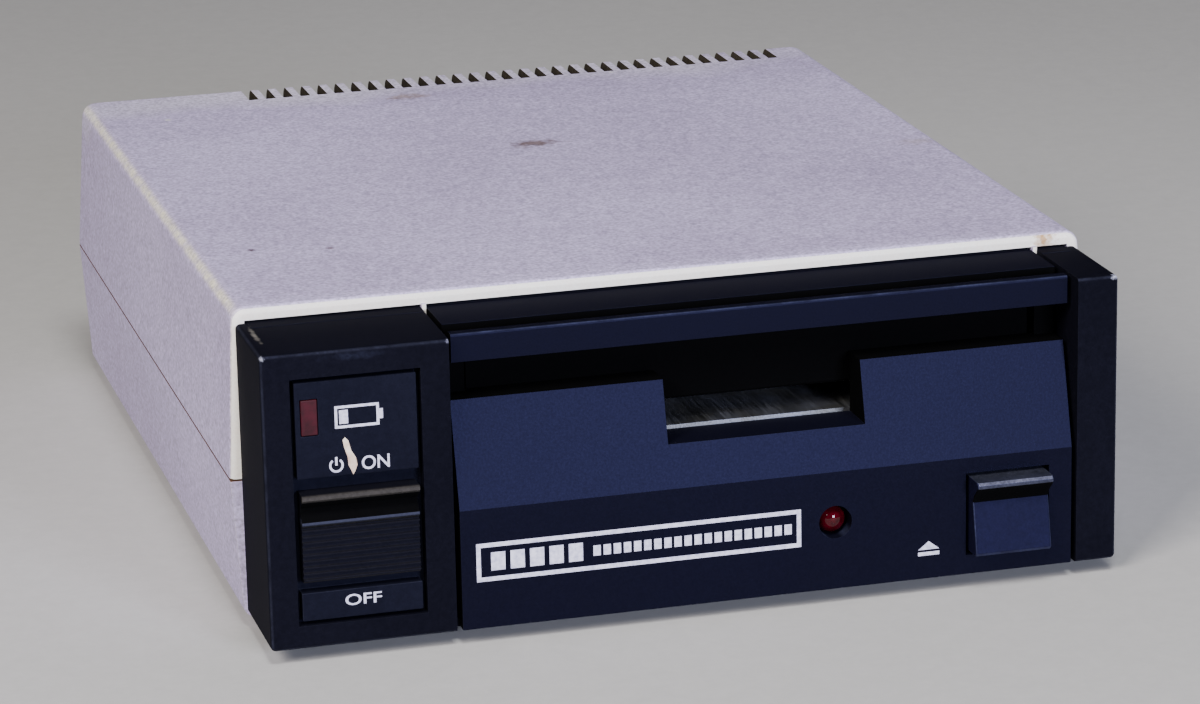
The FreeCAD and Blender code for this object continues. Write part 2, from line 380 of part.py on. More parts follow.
# Places and widths that follow from the sizes above, worked out in the same sheet.
FOLLOWING = [
    ("cradle_half", "disk_width / 2 + cradle_side_gap", "inside of the cradle from the bay's middle"),
    ("cradle_outer", "cradle_half + steel_sheet", "outside of the cradle"),
    ("slide_half", "cradle_outer + slide_side_gap", "inside of the eject plate"),
    ("slide_outer", "slide_half + slide_sheet", "outside of the eject plate"),
    ("chassis_inner", "slide_outer + chassis_side_gap", "inside of the chassis"),
    ("chassis_half", "chassis_inner + chassis_sheet", "outside of the chassis"),
    ("plate_width", "2 * (chassis_half + plate_overlap)", "width of the faceplate"),
    ("bay_width", "plate_width + 2 * bay_gap", "width of the drive bay"),
    ("board_top", "main_board_low + board_sheet", "top of the main board"),
    ("pulley_low", "board_top + pulley_rise", "underside of both pulleys"),
    ("motor_low", "pulley_low + pulley_tall + motor_gap", "underside of the motor"),
    ("deck_low", "motor_low + motor_tall", "underside of the deck"),
    ("deck_top", "deck_low + chassis_sheet", "top of the deck"),
    ("disk_low", "deck_top + disk_rise", "underside of a seated disk"),
    ("slope_top", "disk_low + slope_rise", "top of the slope"),
    ("bar_low", "slope_top + slot_tall", "underside of the upper bar"),
    ("frame_tall", "bar_low + bar_tall", "front frame height"),
    ("frame_width", "left_block + bay_width + right_pillar", "front frame width"),
    ("case_width_top", "frame_width + 2 * lid_flare", "case width across the top"),
    ("case_width_split", "frame_width + 2 * split_flare", "case width where lid and tray meet"),
    ("case_width_base", "frame_width + 2 * tray_flare", "case width at the underside"),
    ("case_top", "frame_tall + lid_step", "top of the lid above the frame's lower edge"),
    ("case_rear", "deck_rear + rear_room", "rear of the case at the split line"),
    ("case_rear_top", "case_rear - lid_lean", "rear of the lid at the top"),
    ("case_rear_base", "case_rear - tray_lean", "rear of the tray at the underside"),
    ("front_line", "-(case_rear - button_proud) / 2", "front face from the middle of the whole drive"),
    ("foot_line", "case_under + foot_drop", "frame's lower edge above the ground"),
    ("wall_top", "case_top - case_wall", "inside of the lid"),
    ("tray_floor", "-case_under + case_wall", "inside of the tray"),
    ("tray_top", "case_split - split_gap", "upper edge of the tray"),
    ("rear_inside", "case_rear_base - case_wall - rear_gap", "rear of jack and connector"),
    ("bay_left", "frame_width / 2 - left_block", "left side of the bay, left of the middle"),
    ("bay_right", "frame_width / 2 - right_pillar", "right side of the bay"),
    ("bay_middle", "(bay_right - bay_left) / 2", "middle of the bay"),
    ("plate_left", "-bay_left + bay_gap", "left end of the faceplate"),
    ("plate_right", "bay_right - bay_gap", "right end of the faceplate"),
    ("vent_pitch", "(bay_width - vent_width) / (vent_count - 1)", "spacing of the vent slots"),
    ("vent_first", "bay_middle - vent_pitch * (vent_count - 1) / 2", "middle of the first vent slot"),
    ("spigot_end", "frame_proud + frame_spigot", "rear of the spigot"),
    ("spigot_half", "case_width_base / 2 - case_wall - spigot_gap", "half width of the spigot"),
    ("spigot_low", "tray_floor + spigot_gap", "underside of the spigot"),
    ("spigot_high", "wall_top - spigot_gap", "top of the spigot"),
    ("insert_left", "frame_width / 2 - insert_inset", "left side of the insert's opening"),
    ("insert_right", "bay_left + insert_edge", "right side of the insert's opening"),
    ("insert_high", "frame_tall - insert_drop", "head of the insert's opening"),
    ("field_left", "-insert_left + insert_reveal", "left side of the insert's fields"),
    ("field_right", "-insert_right - insert_reveal", "right side of the insert's fields"),
    ("label_field_low", "knob_top + knob_travel + knob_end_gap", "foot of the label field"),
    ("lens_left", "insert_left - lens_inset", "left side of the red window"),
    ("lens_low", "insert_high - lens_drop", "foot of the red window"),
    ("knob_low", "off_field_high + knob_rest", "foot of the power knob at OFF"),
    ("knob_top", "knob_low + knob_tall", "top of the power knob at OFF"),
    ("knob_middle", "-(insert_left + insert_right) / 2", "middle of the power knob"),
    ("knob_back", "frame_wall - knob_side_gap", "back of the power knob"),
    ("lever_low", "stem_low + (stem_tall - lever_tall)/2", "underside of the switch lever"),
    ("stem_low", "knob_low + stem_rise", "foot of the knob's stem"),
    ("switch_low", "knob_low - switch_drop", "foot of the slide switch"),
    ("rail_high", "insert_high - rail_margin", "head of the rails"),
    ("switch_room_left", "-frame_width / 2 + frame_wall", "left side of the space behind the insert"),
    ("switch_room_right", "-bay_left - frame_wall", "right side of the space behind the insert"),
    ("notch_low", "slope_top - notch_deep", "floor of the finger notch"),
    ("notch_left", "bay_middle - notch_width / 2", "left side of the finger notch"),
    ("notch_right", "bay_middle + notch_width / 2", "right side of the finger notch"),
    ("lamp_right", "bay_middle + lamp_offset", "activity lamp right of the middle"),
    ("lamp_back", "plate_depth - lamp_inset", "back of the lamp and its boss"),
    ("button_right", "plate_right - button_inset", "right side of the eject button"),
    ("button_left", "button_right - button_width", "left side of the eject button"),
    ("button_top", "button_low + button_tall", "top of the eject button"),
    ("stem_left", "button_left + stem_inset", "left side of the button's stem and lug"),
    ("flap_width", "plate_width - 2 * rib_width - 2 * flap_side_gap", "width of the dust flap"),
    ("flap_low", "slope_top - flap_lap", "lower edge of the dust flap"),
    ("flap_pin_tall", "frame_tall - flap_pin_drop", "height of the flap's pin"),
    ("flap_pin_back", "flap_front + flap_barrel_radius", "flap's pin behind the front face"),
    ("cradle_low", "disk_low - disk_lip_gap - steel_sheet", "underside of the cradle"),
    ("cradle_roof", "disk_low - disk_lip_gap + cradle_inside", "underside of the cradle's cover"),
    ("cradle_rear", "disk_rear + stop_gap + steel_sheet", "rear of the cradle"),
    ("disk_rear", "disk_front + disk_length", "far edge of a seated disk"),
    ("spindle_back", "disk_rear - hub_from_edge", "spindle behind the front face"),
    ("pin_rear", "disk_rear - pin_rear_inset", "rear cradle pins behind the front face"),
    ("pin_tall", "(cradle_low + cradle_roof + steel_sheet) / 2", "height of the cradle's pins"),
    ("pin_slot", "pin_radius + running_gap", "half width of the slots round the pins"),
    ("slide_low", "disk_low - slide_skirt", "lower edge of the eject plate's flanges"),
    ("slide_top", "cradle_roof + steel_sheet + button_travel + slide_roof_gap", "underside of the eject plate"),
    ("slide_rear", "disk_rear + slide_tail", "rear of the eject plate"),
    ("chassis_top", "slide_top + slide_roof_gap", "top of the chassis sides"),
    ("lug_back", "slide_front + lug_overlap", "rear of the lug's arm"),
    ("window_front", "spindle_back + window_start", "front of the head windows"),
    ("window_half", "rod_half + window_side", "half width of the carriage window"),
    ("chassis_screw_half", "chassis_half - screw_inset", "chassis screws from the bay's middle"),
    ("spring_middle", "stem_left + spring_tab_width / 2 + spring_side_gap", "eject spring right of the middle"),
    ("spring_back", "lug_front + slide_sheet + eject_spring_length", "rear of the eject spring"),
    ("head_rest", "spindle_back + track_radius", "head at the outermost track"),
    ("arm_back", "head_rest + arm_hinge", "hinge of the pressure arm"),
    ("arm_tall", "disk_low + arm_rise", "underside of the pressure arm"),
    ("arm_pin_tall", "arm_tall + arm_sheet / 2", "height of the arm's hinge pin"),
    ("deck_rear", "arm_back + deck_tail", "rear of the deck"),
    ("stepper_front", "deck_rear + chassis_sheet", "front of the stepper motor"),
    ("carriage_front", "head_rest - carriage_nose", "front of the head carriage"),
    ("carriage_rear", "arm_back + carriage_tail", "rear of the head carriage"),
    ("screw_tall", "deck_top - screw_drop", "height of lead screw and guide rods"),
    ("carriage_top", "screw_tall + carriage_half_tall", "top of the head carriage"),
    ("bracket_front", "carriage_front - head_travel - bracket_gap - bracket_sheet", "front of the bracket"),
    ("post_rear", "deck_rear - post_inset", "rear chassis screws behind the front face"),
    ("hub_top", "disk_low - hub_gap", "top of the spindle hub"),
    ("main_board_half", "chassis_half - main_board_gap", "half width of the main board"),
    ("main_board_rear", "case_rear - main_board_inset", "rear of the main board"),
    ("board_screw_front", "main_board_front + board_screw_inset", "front board screws"),
    ("board_screw_rear", "main_board_rear - board_screw_inset", "rear board screws"),
    ("board_screw_half", "main_board_half - board_screw_inset", "board screws from the bay's middle"),
    ("jack_right", "bay_middle + main_board_half - jack_inset", "power jack right of the middle"),
    ("jack_tall", "board_top + jack_body / 2", "height of the power jack"),
    ("port_left", "bay_middle - port_offset - port_width / 2", "left side of the data connector"),
    ("port_right", "port_left + port_width", "right side of the data connector"),
    ("cell_row", "-frame_width / 2 + cell_row_inset", "row of cells from the middle"),
    ("holder_front", "boss_front + case_post_radius + holder_gap", "front of the battery holder"),
    ("cell_first", "holder_front + holder_wall + contact_long", "front of the first cell"),
    ("cell_pitch", "cell_long + stud_long + cell_gap", "spacing of the cells in a row"),
    ("cell_low", "tray_floor + cell_seat + cell_radius", "height of the lower cells"),
    ("cell_high", "cell_low + 2 * cell_radius + cell_gap", "height of the upper cells"),
    ("holder_half", "cell_radius + cell_gap", "inside of the holder from its middle"),
    ("holder_outer", "holder_half + holder_wall", "outside of the holder"),
    ("holder_top", "cell_high + cell_radius + cell_gap", "inside of the holder's top"),
    ("holder_inner_rear", "cell_first + cell_pitch + cell_long + stud_long + contact_sheet", "inside rear"),
    ("holder_rear", "holder_inner_rear + holder_wall", "rear of the battery holder"),
    ("door_front", "holder_front - door_margin", "front of the battery door"),
    ("door_rear", "holder_rear + door_margin", "rear of the battery door"),
    ("foot_side", "frame_width / 2 - foot_side_inset", "feet from the middle"),
    ("foot_rear", "case_rear - rear_inset", "rear feet behind the front face"),
    ("boss_side", "frame_width / 2 - boss_side_inset", "case screws from the middle"),
    ("boss_front", "spigot_end + case_post_radius + boss_gap", "front case screws"),
    ("boss_rear", "case_rear - rear_inset", "rear case screws"),
    ("head_seat_top", "tray_floor + head_seat_sheet", "seats of the case screws' heads"),
]

for row, (alias, number, meaning) in enumerate(SIZES + FOLLOWING, start=1):
    sheet.set(f"A{row}", meaning)
    sheet.set(f"B{row}", number if row <= len(SIZES) else "=" + number)
    sheet.setAlias(f"B{row}", alias)
doc.recompute()

ALIASES = {alias for alias, number, meaning in SIZES + FOLLOWING}
WORD = re.compile(r"[a-z][a-z0-9_]*")


def formula(text):
    """Put the sheet's name before each of its words."""
    return WORD.sub(lambda m: "Sizes." + m.group(0) if m.group(0) in ALIASES else m.group(0), str(text))


def bind(thing, bindings):
    for target, text in bindings.items():
        thing.setExpression(target, formula(text))
    return thing


# --- solids bound to the sheet -------------------------------------------------------------------

ALONG = {"x": Rotation(Vector(0, 1, 0), 90), "y": Rotation(Vector(1, 0, 0), -90), "z": Rotation()}


def block(name, x, y, z):
    """A box between two corners, each given as a pair of formulas (low, high)."""
    box = doc.addObject("Part::Box", name)
    for length, axis, (low, high) in (("Length", "x", x), ("Width", "y", y), ("Height", "z", z)):
        bind(box, {length: f"({high}) - ({low})", f"Placement.Base.{axis}": low})
    return box


def rod(name, axis, radius, x, y, z):
    """A cylinder along one axis, which has a pair of formulas; the other two give its middle."""
    spans = {"x": x, "y": y, "z": z}
    low, high = spans[axis]
    bar = doc.addObject("Part::Cylinder", name)
    bar.Placement = Placement(Vector(), ALONG[axis])
    bind(bar, {"Radius": radius, "Height": f"({high}) - ({low})"})
    spans[axis] = low
    return bind(bar, {f"Placement.Base.{key}": text for key, text in spans.items()})


def joined(name, *pieces):
    fusion = doc.addObject("Part::MultiFuse", name)
    fusion.Shapes = list(pieces)
    fusion.Refine = True
    return fusion


def cut(name, base, *tools):
    tool = tools[0] if len(tools) == 1 else joined(name + "_tools", *tools)
    result = doc.addObject("Part::Cut", name)
    result.Base = base
    result.Tool = tool
    result.Refine = True
    return result


def together(name, *pieces):
    """Separate solids that share one name, such as a set of screws."""
    group = doc.addObject("Part::Compound", name)
    group.Links = list(pieces)
    return group


# --- bodies made of sketches and features ---------------------------------------------------------

NORMAL_SIGN = {"XY_Plane": 1, "YZ_Plane": 1, "XZ_Plane": -1}
ROUGH = [Vector(3, 2, 0), Vector(9, 1, 0), Vector(14, 5, 0), Vector(15, 11, 0), Vector(11, 16, 0),
         Vector(5, 17, 0), Vector(-1, 14, 0), Vector(-4, 9, 0), Vector(-3, 5, 0), Vector(-1, 3, 0),
         Vector(0, 2.5, 0), Vector(1, 2.2, 0), Vector(1.6, 2.1, 0), Vector(2.2, 2.05, 0)]


def origin_part(body, role):
    return next(item for item in body.Origin.OriginFeatures if item.Role == role)


def sketch_on(body, name, role, level):
    sketch = body.newObject("Sketcher::SketchObject", name)
    sketch.AttachmentSupport = [(origin_part(body, role), "")]
    sketch.MapMode = "FlatFace"
    sign = "-" if NORMAL_SIGN[role] < 0 else ""
    return bind(sketch, {"AttachmentOffset.Base.z": f"{sign}({level})"})


def fix_point(sketch, geometry, end, across, up, start):
    """Tie a point of the sketch to formulas for its two coordinates."""
    for kind, text, first in (("DistanceX", across, start.x), ("DistanceY", up, start.y)):
        index = sketch.addConstraint(Sketcher.Constraint(kind, -1, 1, geometry, end, first or 0.5))
        sketch.setExpression(f"Constraints[{index}]", formula(text))


def outline(sketch, corners):
    """A closed outline of straight lines through corners given as pairs of formulas."""
    first = sketch.GeometryCount
    count = len(corners)
    for index in range(count):
        sketch.addGeometry(Part.LineSegment(ROUGH[index], ROUGH[(index + 1) % count]))
    for index in range(count):
        following = first + (index + 1) % count
        sketch.addConstraint(Sketcher.Constraint("Coincident", first + index, 2, following, 1))
    for index, (across, up) in enumerate(corners):
        fix_point(sketch, first + index, 1, across, up, ROUGH[index])


def circle(sketch, across, up, radius):
    index = sketch.addGeometry(Part.Circle(Vector(2, 3, 0), Vector(0, 0, 1), 1))
    fix_point(sketch, index, 3, across, up, Vector(2, 3, 0))
    bound = sketch.addConstraint(Sketcher.Constraint("Radius", index, 1))
    sketch.setExpression(f"Constraints[{bound}]", formula(radius))


def rectangle(x, y):
    return [(x[0], y[0]), (x[1], y[0]), (x[1], y[1]), (x[0], y[1])]


def extrude(body, name, role, span, *loops, hollow=False):
    """Add, or cut away, a prism over outlines or circles; the span runs along the plane's axis."""
    low, high = span
    sketch = sketch_on(body, name + "_sketch", role, low)
    for loop in loops:
        if isinstance(loop, dict):
            circle(sketch, loop["across"], loop["up"], loop["radius"])
        else:
            outline(sketch, loop)
    feature = body.newObject("PartDesign::Pocket" if hollow else "PartDesign::Pad", name)
    feature.Profile = sketch
    feature.Reversed = (NORMAL_SIGN[role] < 0) != hollow
    return bind(feature, {"Length": f"({high}) - ({low})"})


def slab(body, name, x, y, z, hollow=False):
    return extrude(body, name, "XY_Plane", z, rectangle(x, y), hollow=hollow)


def drill(body, name, role, span, across, up, radius):
    return extrude(body, name, role, span, {"across": across, "up": up, "radius": radius}, hollow=True)


def taper_out(body, name, low, low_loop, high, high_loop):
    """Cut away a tapered block between two level outlines."""
    lower = sketch_on(body, name + "_low", "XY_Plane", low)
    outline(lower, low_loop)
    upper = sketch_on(body, name + "_high", "XY_Plane", high)
    outline(upper, high_loop)
    feature = body.newObject("PartDesign::SubtractiveLoft", name)
    feature.Profile = lower
    feature.Sections = [upper]
    feature.Ruled = True
    return feature


def round_edges(body, name, radius, wanted):
    doc.recompute()
    base = body.Tip
    picked = [f"Edge{number}" for number, edge in enumerate(base.Shape.Edges, start=1) if wanted(edge)]
    feature = body.newObject("PartDesign::Fillet", name)
    feature.Base = (base, picked)
    return bind(feature, {"Radius": radius})


def in_row(body, name, feature, role, pitch, count):
    """Repeat a feature in a row along one of the body's axes."""
    row_of = body.newObject("PartDesign::LinearPattern", name)
    row_of.Originals = [feature]
    row_of.Direction = (origin_part(body, role), [""])
    bind(row_of, {"Occurrences": count, "Length": f"({pitch}) * ({count} - 1)"})
    body.Tip = row_of
    return row_of


def turned(name, corners, level="0", role="XZ_Plane"):
    """A body of revolution about the sketch's upright axis: corners are pairs (radius, height)."""
    body = doc.addObject("PartDesign::Body", name)
    sketch = sketch_on(body, name + "_profile", role, level)
    outline(sketch, corners)
    feature = body.newObject("PartDesign::Revolution", name + "_turn")
    feature.Profile = sketch
    feature.ReferenceAxis = (sketch, ["V_Axis"])
    feature.Angle = 360
    return body


def span_of(edge, axis):
    box = edge.BoundBox
    return {"x": (box.XMin, box.XMax), "y": (box.YMin, box.YMax), "z": (box.ZMin, box.ZMax)}[axis]


def lies_at(edge, axis, place, slack=0.01):
    low, high = span_of(edge, axis)
    return abs(low - place) < slack and abs(high - place) < slack


SUB_PARTS = []


def place(piece, label, x="0", y="0", z="0"):
    """Name a finished sub-part and set it on the part's own origin.

    A plain block or rod is grouped first, so that its own position stays its own.
    """
    if piece.TypeId in ("Part::Box", "Part::Cylinder"):
        piece = together(label, piece)
    piece.Label = label
    bind(piece, {"Placement.Base.x": x,
                 "Placement.Base.y": f"front_line + ({y})",
                 "Placement.Base.z": f"foot_line + ({z})"})
    SUB_PARTS.append(piece)
    return piece


def size(alias):
    return float(sheet.get(alias))


def rises(edge):
    """Whether an edge climbs more than it runs along x and y."""
    reach = {axis: span_of(edge, axis)[1] - span_of(edge, axis)[0] for axis in "xyz"}
    return reach["z"] > max(reach["x"], reach["y"])


BOARD_SCREWS = [(f"bay_middle {side} board_screw_half", f"board_screw_{back}")
                for side in ("-", "+") for back in ("front", "rear")]
NUBS = [("nub_left", "-bay_left + bay_gap/2"), ("nub_right", "bay_right - bay_gap/2")]
CORNERS = [(side, back) for side in (-1, 1) for back in ("front", "rear")]


# --- the case -------------------------------------------------------------------------------------

def make_upper_shell():
    """Lid: open below and in front, with a comb of vent slots over its upper rear edge."""
    body = doc.addObject("PartDesign::Body", "upper_shell")
    extrude(body, "lid", "XZ_Plane", ("frame_proud", "case_rear"),
            [("-case_width_split/2", "case_split"), ("case_width_split/2", "case_split"),
             ("case_width_top/2", "case_top"), ("-case_width_top/2", "case_top")])
    extrude(body, "lid_rear_slope", "YZ_Plane", ("-case_width_split", "case_width_split"),
            [("case_rear", "case_split"), ("case_rear_top", "case_top"), ("case_rear_top", "case_top + past"),
             ("case_rear + past", "case_top + past"), ("case_rear + past", "case_split")], hollow=True)
    top = size("case_top")
    front = size("frame_proud")
    round_edges(body, "lid_corners", "case_corner",
                lambda e: rises(e) and not lies_at(e, "y", front))
    round_edges(body, "lid_edges", "case_edge",
                lambda e: lies_at(e, "z", top) and not lies_at(e, "y", front))
    round_edges(body, "lid_lip", "case_lip_edge",
                lambda e: lies_at(e, "y", front) and lies_at(e, "z", top))
    taper_out(body, "lid_inside", "case_split",
              rectangle(("-case_width_split/2 + case_wall", "case_width_split/2 - case_wall"),
                        ("frame_proud - past", "case_rear - case_wall")),
              "wall_top",
              rectangle(("-case_width_top/2 + case_wall", "case_width_top/2 - case_wall"),
                        ("frame_proud - past", "case_rear_top - case_wall")))
    for number, (side, back) in enumerate(CORNERS):
        spot = {"across": f"{side} * boss_side", "up": f"boss_{back}", "radius": "post_radius"}
        extrude(body, f"boss_{number}", "XY_Plane", ("case_split", "wall_top + weld"), spot)
        drill(body, f"boss_bore_{number}", "XY_Plane", ("case_split", "case_split + boss_bore_long"),
              spot["across"], spot["up"], "case_screw_radius")
    for name, middle in NUBS:
        slab(body, name, (f"{middle} - nub_width/2", f"{middle} + nub_width/2"),
             ("frame_proud - nub_reach", "frame_proud - nub_reach + nub_depth"),
             ("wall_top - nub_drop", "wall_top + weld"))
    slot = slab(body, "vent_slot",
                ("vent_first - vent_width/2", "vent_first + vent_width/2"),
                ("case_rear_top - vent_run", "case_rear + past"),
                ("case_top - vent_drop", "case_top + past"), hollow=True)
    in_row(body, "vent_comb", slot, "X_Axis", "vent_pitch", "vent_count")
    place(body, "upper_shell")


def make_lower_shell():
    """Tray: floor with the battery opening, posts, and the rear openings of jack and connector."""
    body = doc.addObject("PartDesign::Body", "lower_shell")
    extrude(body, "tray", "XZ_Plane", ("frame_proud", "case_rear"),
            [("-case_width_base/2", "-case_under"), ("case_width_base/2", "-case_under"),
             ("case_width_split/2", "tray_top"), ("-case_width_split/2", "tray_top")])
    extrude(body, "tray_rear_slope", "YZ_Plane", ("-case_width_split", "case_width_split"),
            [("case_rear", "tray_top"), ("case_rear_base", "-case_under"),
             ("case_rear_base", "-case_under - past"), ("case_rear + past", "-case_under - past"),
             ("case_rear + past", "tray_top")], hollow=True)
    base = -size("case_under")
    front = size("frame_proud")
    round_edges(body, "tray_corners", "case_corner",
                lambda e: rises(e) and not lies_at(e, "y", front))
    round_edges(body, "tray_edges", "tray_edge",
                lambda e: lies_at(e, "z", base) and not lies_at(e, "y", front))
    taper_out(body, "tray_inside", "tray_floor",
              rectangle(("-case_width_base/2 + case_wall", "case_width_base/2 - case_wall"),
                        ("frame_proud - past", "case_rear_base - case_wall")),
              "tray_top",
              rectangle(("-case_width_split/2 + case_wall", "case_width_split/2 - case_wall"),
                        ("frame_proud - past", "case_rear - case_wall")))
    posts = [("case_post", f"{side} * boss_side", f"boss_{back}", "tray_top",
              "case_screw_radius + case_screw_gap") for side, back in CORNERS]
    posts += [("chassis_post", f"bay_middle + {side} * chassis_screw_half", f"post_{back}",
               "chassis_low", "small_screw_radius") for side, back in CORNERS]
    posts += [("board_post", across, back, "main_board_low", "small_screw_radius")
              for across, back in BOARD_SCREWS]
    for number, (kind, across, up, head, bore) in enumerate(posts):
        radius = "case_post_radius" if kind == "case_post" else "post_radius"
        spot = {"across": across, "up": up, "radius": radius}
        extrude(body, f"{kind}_{number}", "XY_Plane", ("tray_floor - weld", head), spot)
        foot = "-case_under" if kind == "case_post" else "tray_floor"
        drill(body, f"{kind}_bore_{number}", "XY_Plane", (foot, head), across, up, bore)
        if kind == "case_post":
            drill(body, f"head_seat_{number}", "XY_Plane", ("-case_under", "head_seat_top"),
                  across, up, "case_screw_head + head_seat_gap")
    slide_room = ("door_front - door_gap", "door_rear + door_travel + door_gap")
    slab(body, "door_recess",
         ("cell_row - door_half - door_gap", "cell_row + door_half + door_gap"), slide_room,
         ("-case_under", "-case_under + door_sheet + door_slide_gap"), hollow=True)
    slab(body, "door_grooves",
         ("cell_row - door_half - door_tongue - door_gap", "cell_row + door_half + door_tongue + door_gap"),
         slide_room, ("-case_under + door_tongue_low - door_slide_gap",
                      "-case_under + door_sheet + door_slide_gap"), hollow=True)
    slab(body, "cell_opening", ("cell_row - holder_half", "cell_row + holder_half"),
         ("holder_front + holder_wall", "holder_inner_rear"), ("-case_under", "tray_floor"), hollow=True)
    drill(body, "jack_hole", "XZ_Plane", ("rear_inside", "case_rear + past"),
          "jack_right", "jack_tall", "jack_collar_radius + collar_gap")
    slab(body, "port_hole", ("port_left - rear_gap", "port_right + rear_gap"),
         ("rear_inside", "case_rear + past"),
         ("board_top - rear_gap", "board_top + port_tall + rear_gap"), hollow=True)
    place(body, "lower_shell")


def make_feet():
    feet = []
    for number, (side, back) in enumerate(CORNERS):
        spot = (f"{side} * foot_side", f"foot_{back}")
        pad = rod(f"foot_pad_{number}", "z", "foot_radius", spot[0], spot[1],
                  ("-case_under - foot_drop", "-case_under"))
        dimple = rod(f"foot_dimple_{number}", "z", "foot_radius * 0.4", spot[0], spot[1],
                     ("-case_under - foot_drop", "-case_under - foot_drop * 0.6"))
        feet.append(cut(f"foot_{number}", pad, dimple))
    place(together("rubber_feet", *feet), "rubber_feet")


# --- the front frame and what sits in its left block ----------------------------------------------

def make_front_frame():
    """Frame: left block, right pillar, a low floor between them and a spigot that enters the case."""
    body = doc.addObject("PartDesign::Body", "front_frame")
    outer = rectangle(("-frame_width/2", "frame_width/2"), ("0", "frame_tall"))
    extrude(body, "frame_outline", "XZ_Plane", ("0", "frame_proud"), outer)
    round_edges(body, "frame_edges", "frame_edge", lambda e: not lies_at(e, "y", size("frame_proud")))
    extrude(body, "spigot", "XZ_Plane", ("frame_proud - spigot_root", "spigot_end"),
            rectangle(("-spigot_half", "spigot_half"), ("spigot_low", "spigot_high")))
    slab(body, "bay", ("-bay_left", "bay_right"), ("-past", "frame_proud + spigot_gap"),
         ("floor_sheet", "frame_tall + past"), hollow=True)
    slab(body, "bay_front", ("-bay_left", "bay_right"), ("-past", "plate_wall + floor_gap"),
         ("-past", "floor_sheet + past"), hollow=True)
    for name, left, right in (("left_hollow", "switch_room_left", "switch_room_right"),
                              ("right_hollow", "bay_right + pillar_wall", "frame_width/2 - frame_wall")):
        slab(body, name, (left, right), ("frame_wall", "frame_proud + weld"),
             ("frame_wall", "frame_tall - frame_wall"), hollow=True)
    slab(body, "spigot_mouth", ("-spigot_half + frame_wall", "spigot_half - frame_wall"),
         ("frame_proud - spigot_root - weld", "spigot_end + past"),
         ("spigot_low + frame_wall", "spigot_high - frame_wall"), hollow=True)
    for name, middle in NUBS:
        slab(body, name + "_slot", (f"{middle} - nub_width/2 - nub_gap", f"{middle} + nub_width/2 + nub_gap"),
             ("frame_proud", "frame_proud - nub_reach + nub_depth + nub_gap"),
             ("wall_top - nub_drop - nub_gap", "wall_top"), hollow=True)
    slab(body, "insert_opening", ("-insert_left", "-insert_right"), ("-past", "frame_wall + past"),
         ("insert_low", "insert_high"), hollow=True)
    for name, left, right in (
            ("board_rail_left", "switch_room_left - weld", "switch_room_left + rail_width"),
            ("board_rail_right", "switch_room_right - rail_width", "switch_room_right + weld")):
        slab(body, name, (left, right), ("switch_board_depth - rail_depth", "switch_board_depth"),
             ("rail_low", "rail_high"))
    for number, (across, tall) in enumerate(SWITCH_BOARD_SCREWS):
        drill(body, f"rail_bore_{number}", "XZ_Plane",
              ("switch_board_depth - switch_screw_long", "switch_board_depth + past"),
              across, tall, "small_screw_radius")
    place(body, "front_frame")


def make_label_insert():
    """Insert: a label field and an OFF field on one flange, with the knob's track between them."""
    body = doc.addObject("PartDesign::Body", "label_insert")
    fields = (("label_field", "label_field_low", "insert_high - insert_reveal"),
              ("off_field", "insert_low + insert_reveal", "off_field_high"))
    for name, low, high in fields:
        slab(body, name, ("field_left", "field_right"), ("insert_set_back", "frame_wall"), (low, high))
    slab(body, "flange", ("-insert_left - insert_flange", "-insert_right + insert_flange"),
         ("frame_wall", "frame_wall + insert_flange"),
         ("insert_low - insert_flange", "insert_high + insert_flange"))
    slab(body, "stem_slot",
         ("knob_middle - knob_stem_half - stem_gap", "knob_middle + knob_stem_half + stem_gap"),
         ("frame_wall - past", "frame_wall + insert_flange + past"),
         ("stem_low - stem_room", "stem_low + stem_tall + knob_travel + stem_room"), hollow=True)
    slab(body, "window", ("-lens_left - lens_gap", "-lens_left + lens_width + lens_gap"),
         ("-past", "frame_wall + insert_flange + past"),
         ("lens_low - lens_gap", "lens_low + lens_tall + lens_gap"), hollow=True)
    place(body, "label_insert")


def make_power_knob():
    """Knob: two ridges with a finger hollow between them over a ribbed field, and a stem behind."""
    body = doc.addObject("PartDesign::Body", "power_knob")
    back = "knob_back"
    wide = ("field_left + knob_side_gap", "field_right - knob_side_gap")
    extrude(body, "knob_profile", "YZ_Plane", wide,
            [(back, "knob_low"), ("0.2", "knob_low"), ("-0.1", "knob_low + 0.5"),
             ("-0.1", "knob_low + knob_rib_pitch * knob_rib_count"), ("-knob_ridge*0.5", "knob_top - 4.9"),
             ("-knob_ridge*0.45", "knob_top - 4.5"), ("0.5", "knob_top - 3.2"), ("0.6", "knob_top - 2.4"),
             ("-knob_ridge*0.75", "knob_top - 1.1"), ("-knob_ridge", "knob_top - 0.7"),
             ("-knob_ridge", "knob_top - 0.2"), ("-knob_ridge + 0.3", "knob_top"), (back, "knob_top")])
    rib = extrude(body, "knob_rib", "YZ_Plane", wide,
                  [("0", "knob_low + 0.25"), ("-0.5", "knob_low + 0.45"), ("-0.5", "knob_low + 0.65"),
                   ("0", "knob_low + 0.85")])
    in_row(body, "knob_ribs", rib, "Z_Axis", "knob_rib_pitch", "knob_rib_count")
    slab(body, "knob_stem", ("knob_middle - knob_stem_half", "knob_middle + knob_stem_half"),
         ("knob_back - weld", "switch_front - past"), ("stem_low", "stem_low + stem_tall"))
    slab(body, "knob_fork", ("knob_middle - lever_half - lever_gap", "knob_middle + lever_half + lever_gap"),
         ("lever_front - weld", "switch_front"), ("lever_low - fork_gap", "lever_low + lever_tall + fork_gap"),
         hollow=True)
    place(body, "power_knob")


